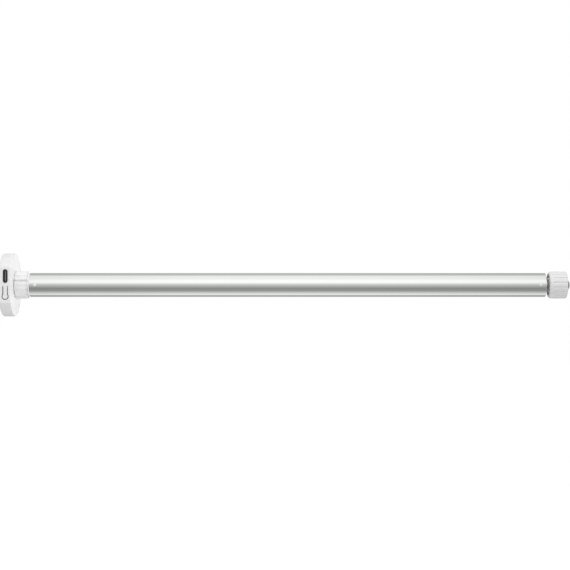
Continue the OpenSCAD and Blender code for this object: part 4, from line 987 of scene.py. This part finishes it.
def makeWorld(s):
    world = bpy.data.worlds.new("studio")
    bpy.context.scene.world = world
    world.use_nodes = True
    sheet = Sheet(world.node_tree)
    strength = s["ambient"] + seenDirectly(sheet) * (s["seen"] - s["ambient"])
    light = sheet.node("ShaderNodeBackground", None, {"Color": (1.0, 1.0, 1.0), "Strength": strength})
    sheet.node("ShaderNodeOutputWorld", None, {"Surface": light})


def addStage(name, points, quads, finish):
    # floor or card that isn't part of the object, in metres
    mesh = bpy.data.meshes.new(name)
    mesh.from_pydata(points.tolist(), [], quads.tolist())
    mesh.materials.append(finish)
    stage = bpy.data.objects.new(name, mesh)
    bpy.context.scene.collection.objects.link(stage)
    return stage


def makeFloor(s):
    # flat grid; seen directly it is white less the object's shadow
    finish, sheet = newFinish("paleFloor")
    grain = sheet.contrast(sheet.noise(sheet.place(), s["grain"]), s["grainGain"])
    pale = sheet.blend(grain, (s["low"],) * 3, (s["tone"],) * 3)
    plain = sheet.node("ShaderNodeBsdfDiffuse", None, {"Color": pale})
    lit = sheet.node("ShaderNodeBsdfDiffuse", None, {"Color": (s["lit"],) * 3})
    glow = sheet.node("ShaderNodeEmission", None, {"Color": (1.0, 1.0, 1.0), "Strength": s["glow"]})
    both = sheet.node("ShaderNodeAddShader", None, {0: lit, 1: glow})
    shown = sheet.node("ShaderNodeMixShader", None, {0: seenDirectly(sheet), 1: plain, 2: both})
    sheet.node("ShaderNodeOutputMaterial", None, {"Surface": shown})
    cells = s["cells"]
    u = np.linspace(-s["half"], s["half"], cells + 1)
    points = gridOf(s["middle"] + u, u[:, None], s["z"]).reshape(-1, 3)
    i = (np.arange(cells)[:, None] * (cells + 1) + np.arange(cells)).reshape(-1)
    addStage("floor", points, np.stack([i, i + 1, i + cells + 2, i + cells + 1], axis=-1), finish)


def makeLamps(lamps):
    for name, lamp in lamps.items():
        data = bpy.data.lights.new(name, "AREA")
        data.shape, data.size, data.size_y = "RECTANGLE", lamp["size"][0], lamp["size"][1]
        data.energy, data.spread = lamp["power"], math.radians(lamp["spread"])
        made = bpy.data.objects.new(name, data)
        made.location = lamp["place"]
        towards = Vector(lamp["aim"]) - Vector(lamp["place"])
        made.rotation_euler = towards.to_track_quat("-Z", "Y").to_euler()
        made.visible_glossy = False
        bpy.context.scene.collection.objects.link(made)


def makeSweep(s):
    # round card about the tube, seen only in reflections; its tone follows atan2(z, -y) and falls to the ends
    finish, sheet = newFinish("sweepCard")
    place = sheet.node("ShaderNodeTexCoord", None, None, "Object")
    y = sheet.node("ShaderNodeSeparateXYZ", None, {0: place}, "Y")
    angle = sheet.node("ShaderNodeMath", {"operation": "ARCTAN2"}, {0: y.other("Z"), 1: 0.0 - y})
    stops = [((degrees + 180) / 360, tone) for degrees, tone in s["tones"]]
    tone = sheet.node("ShaderNodeValToRGB", {"stops": stops}, {"Fac": angle / (2 * math.pi) + 0.5}, "Color")
    along = (y.other("X") - s["middle"]) / s["reach"]
    strength = s["level"] - (along * along).clamped() * s["fall"]
    shade = sheet.node("ShaderNodeMix", {"data_type": "RGBA", "blend_type": "MULTIPLY"}, {
        0: 1.0, 6: tone, 7: strength}, 2)
    glow = sheet.node("ShaderNodeEmission", None, {"Color": shade})
    sheet.node("ShaderNodeOutputMaterial", None, {"Surface": glow})
    finish.cycles.emission_sampling = "NONE"
    ends = np.array([[-s["half"]], [s["half"]]])
    points, quads = skin(rings(ends, s["radius"], turns(s["around"])))
    sweep = addStage("sweep", points, quads, finish)
    sweep.visible_camera = sweep.visible_diffuse = sweep.visible_shadow = False
    sweep.visible_transmission = sweep.visible_volume_scatter = False


makeWorld(worldSet)
makeFloor(floorSet)
makeLamps(lampSet)
makeSweep(sweepSet)
bpy.context.scene.view_settings.view_transform = "Standard"
print("studio lit")
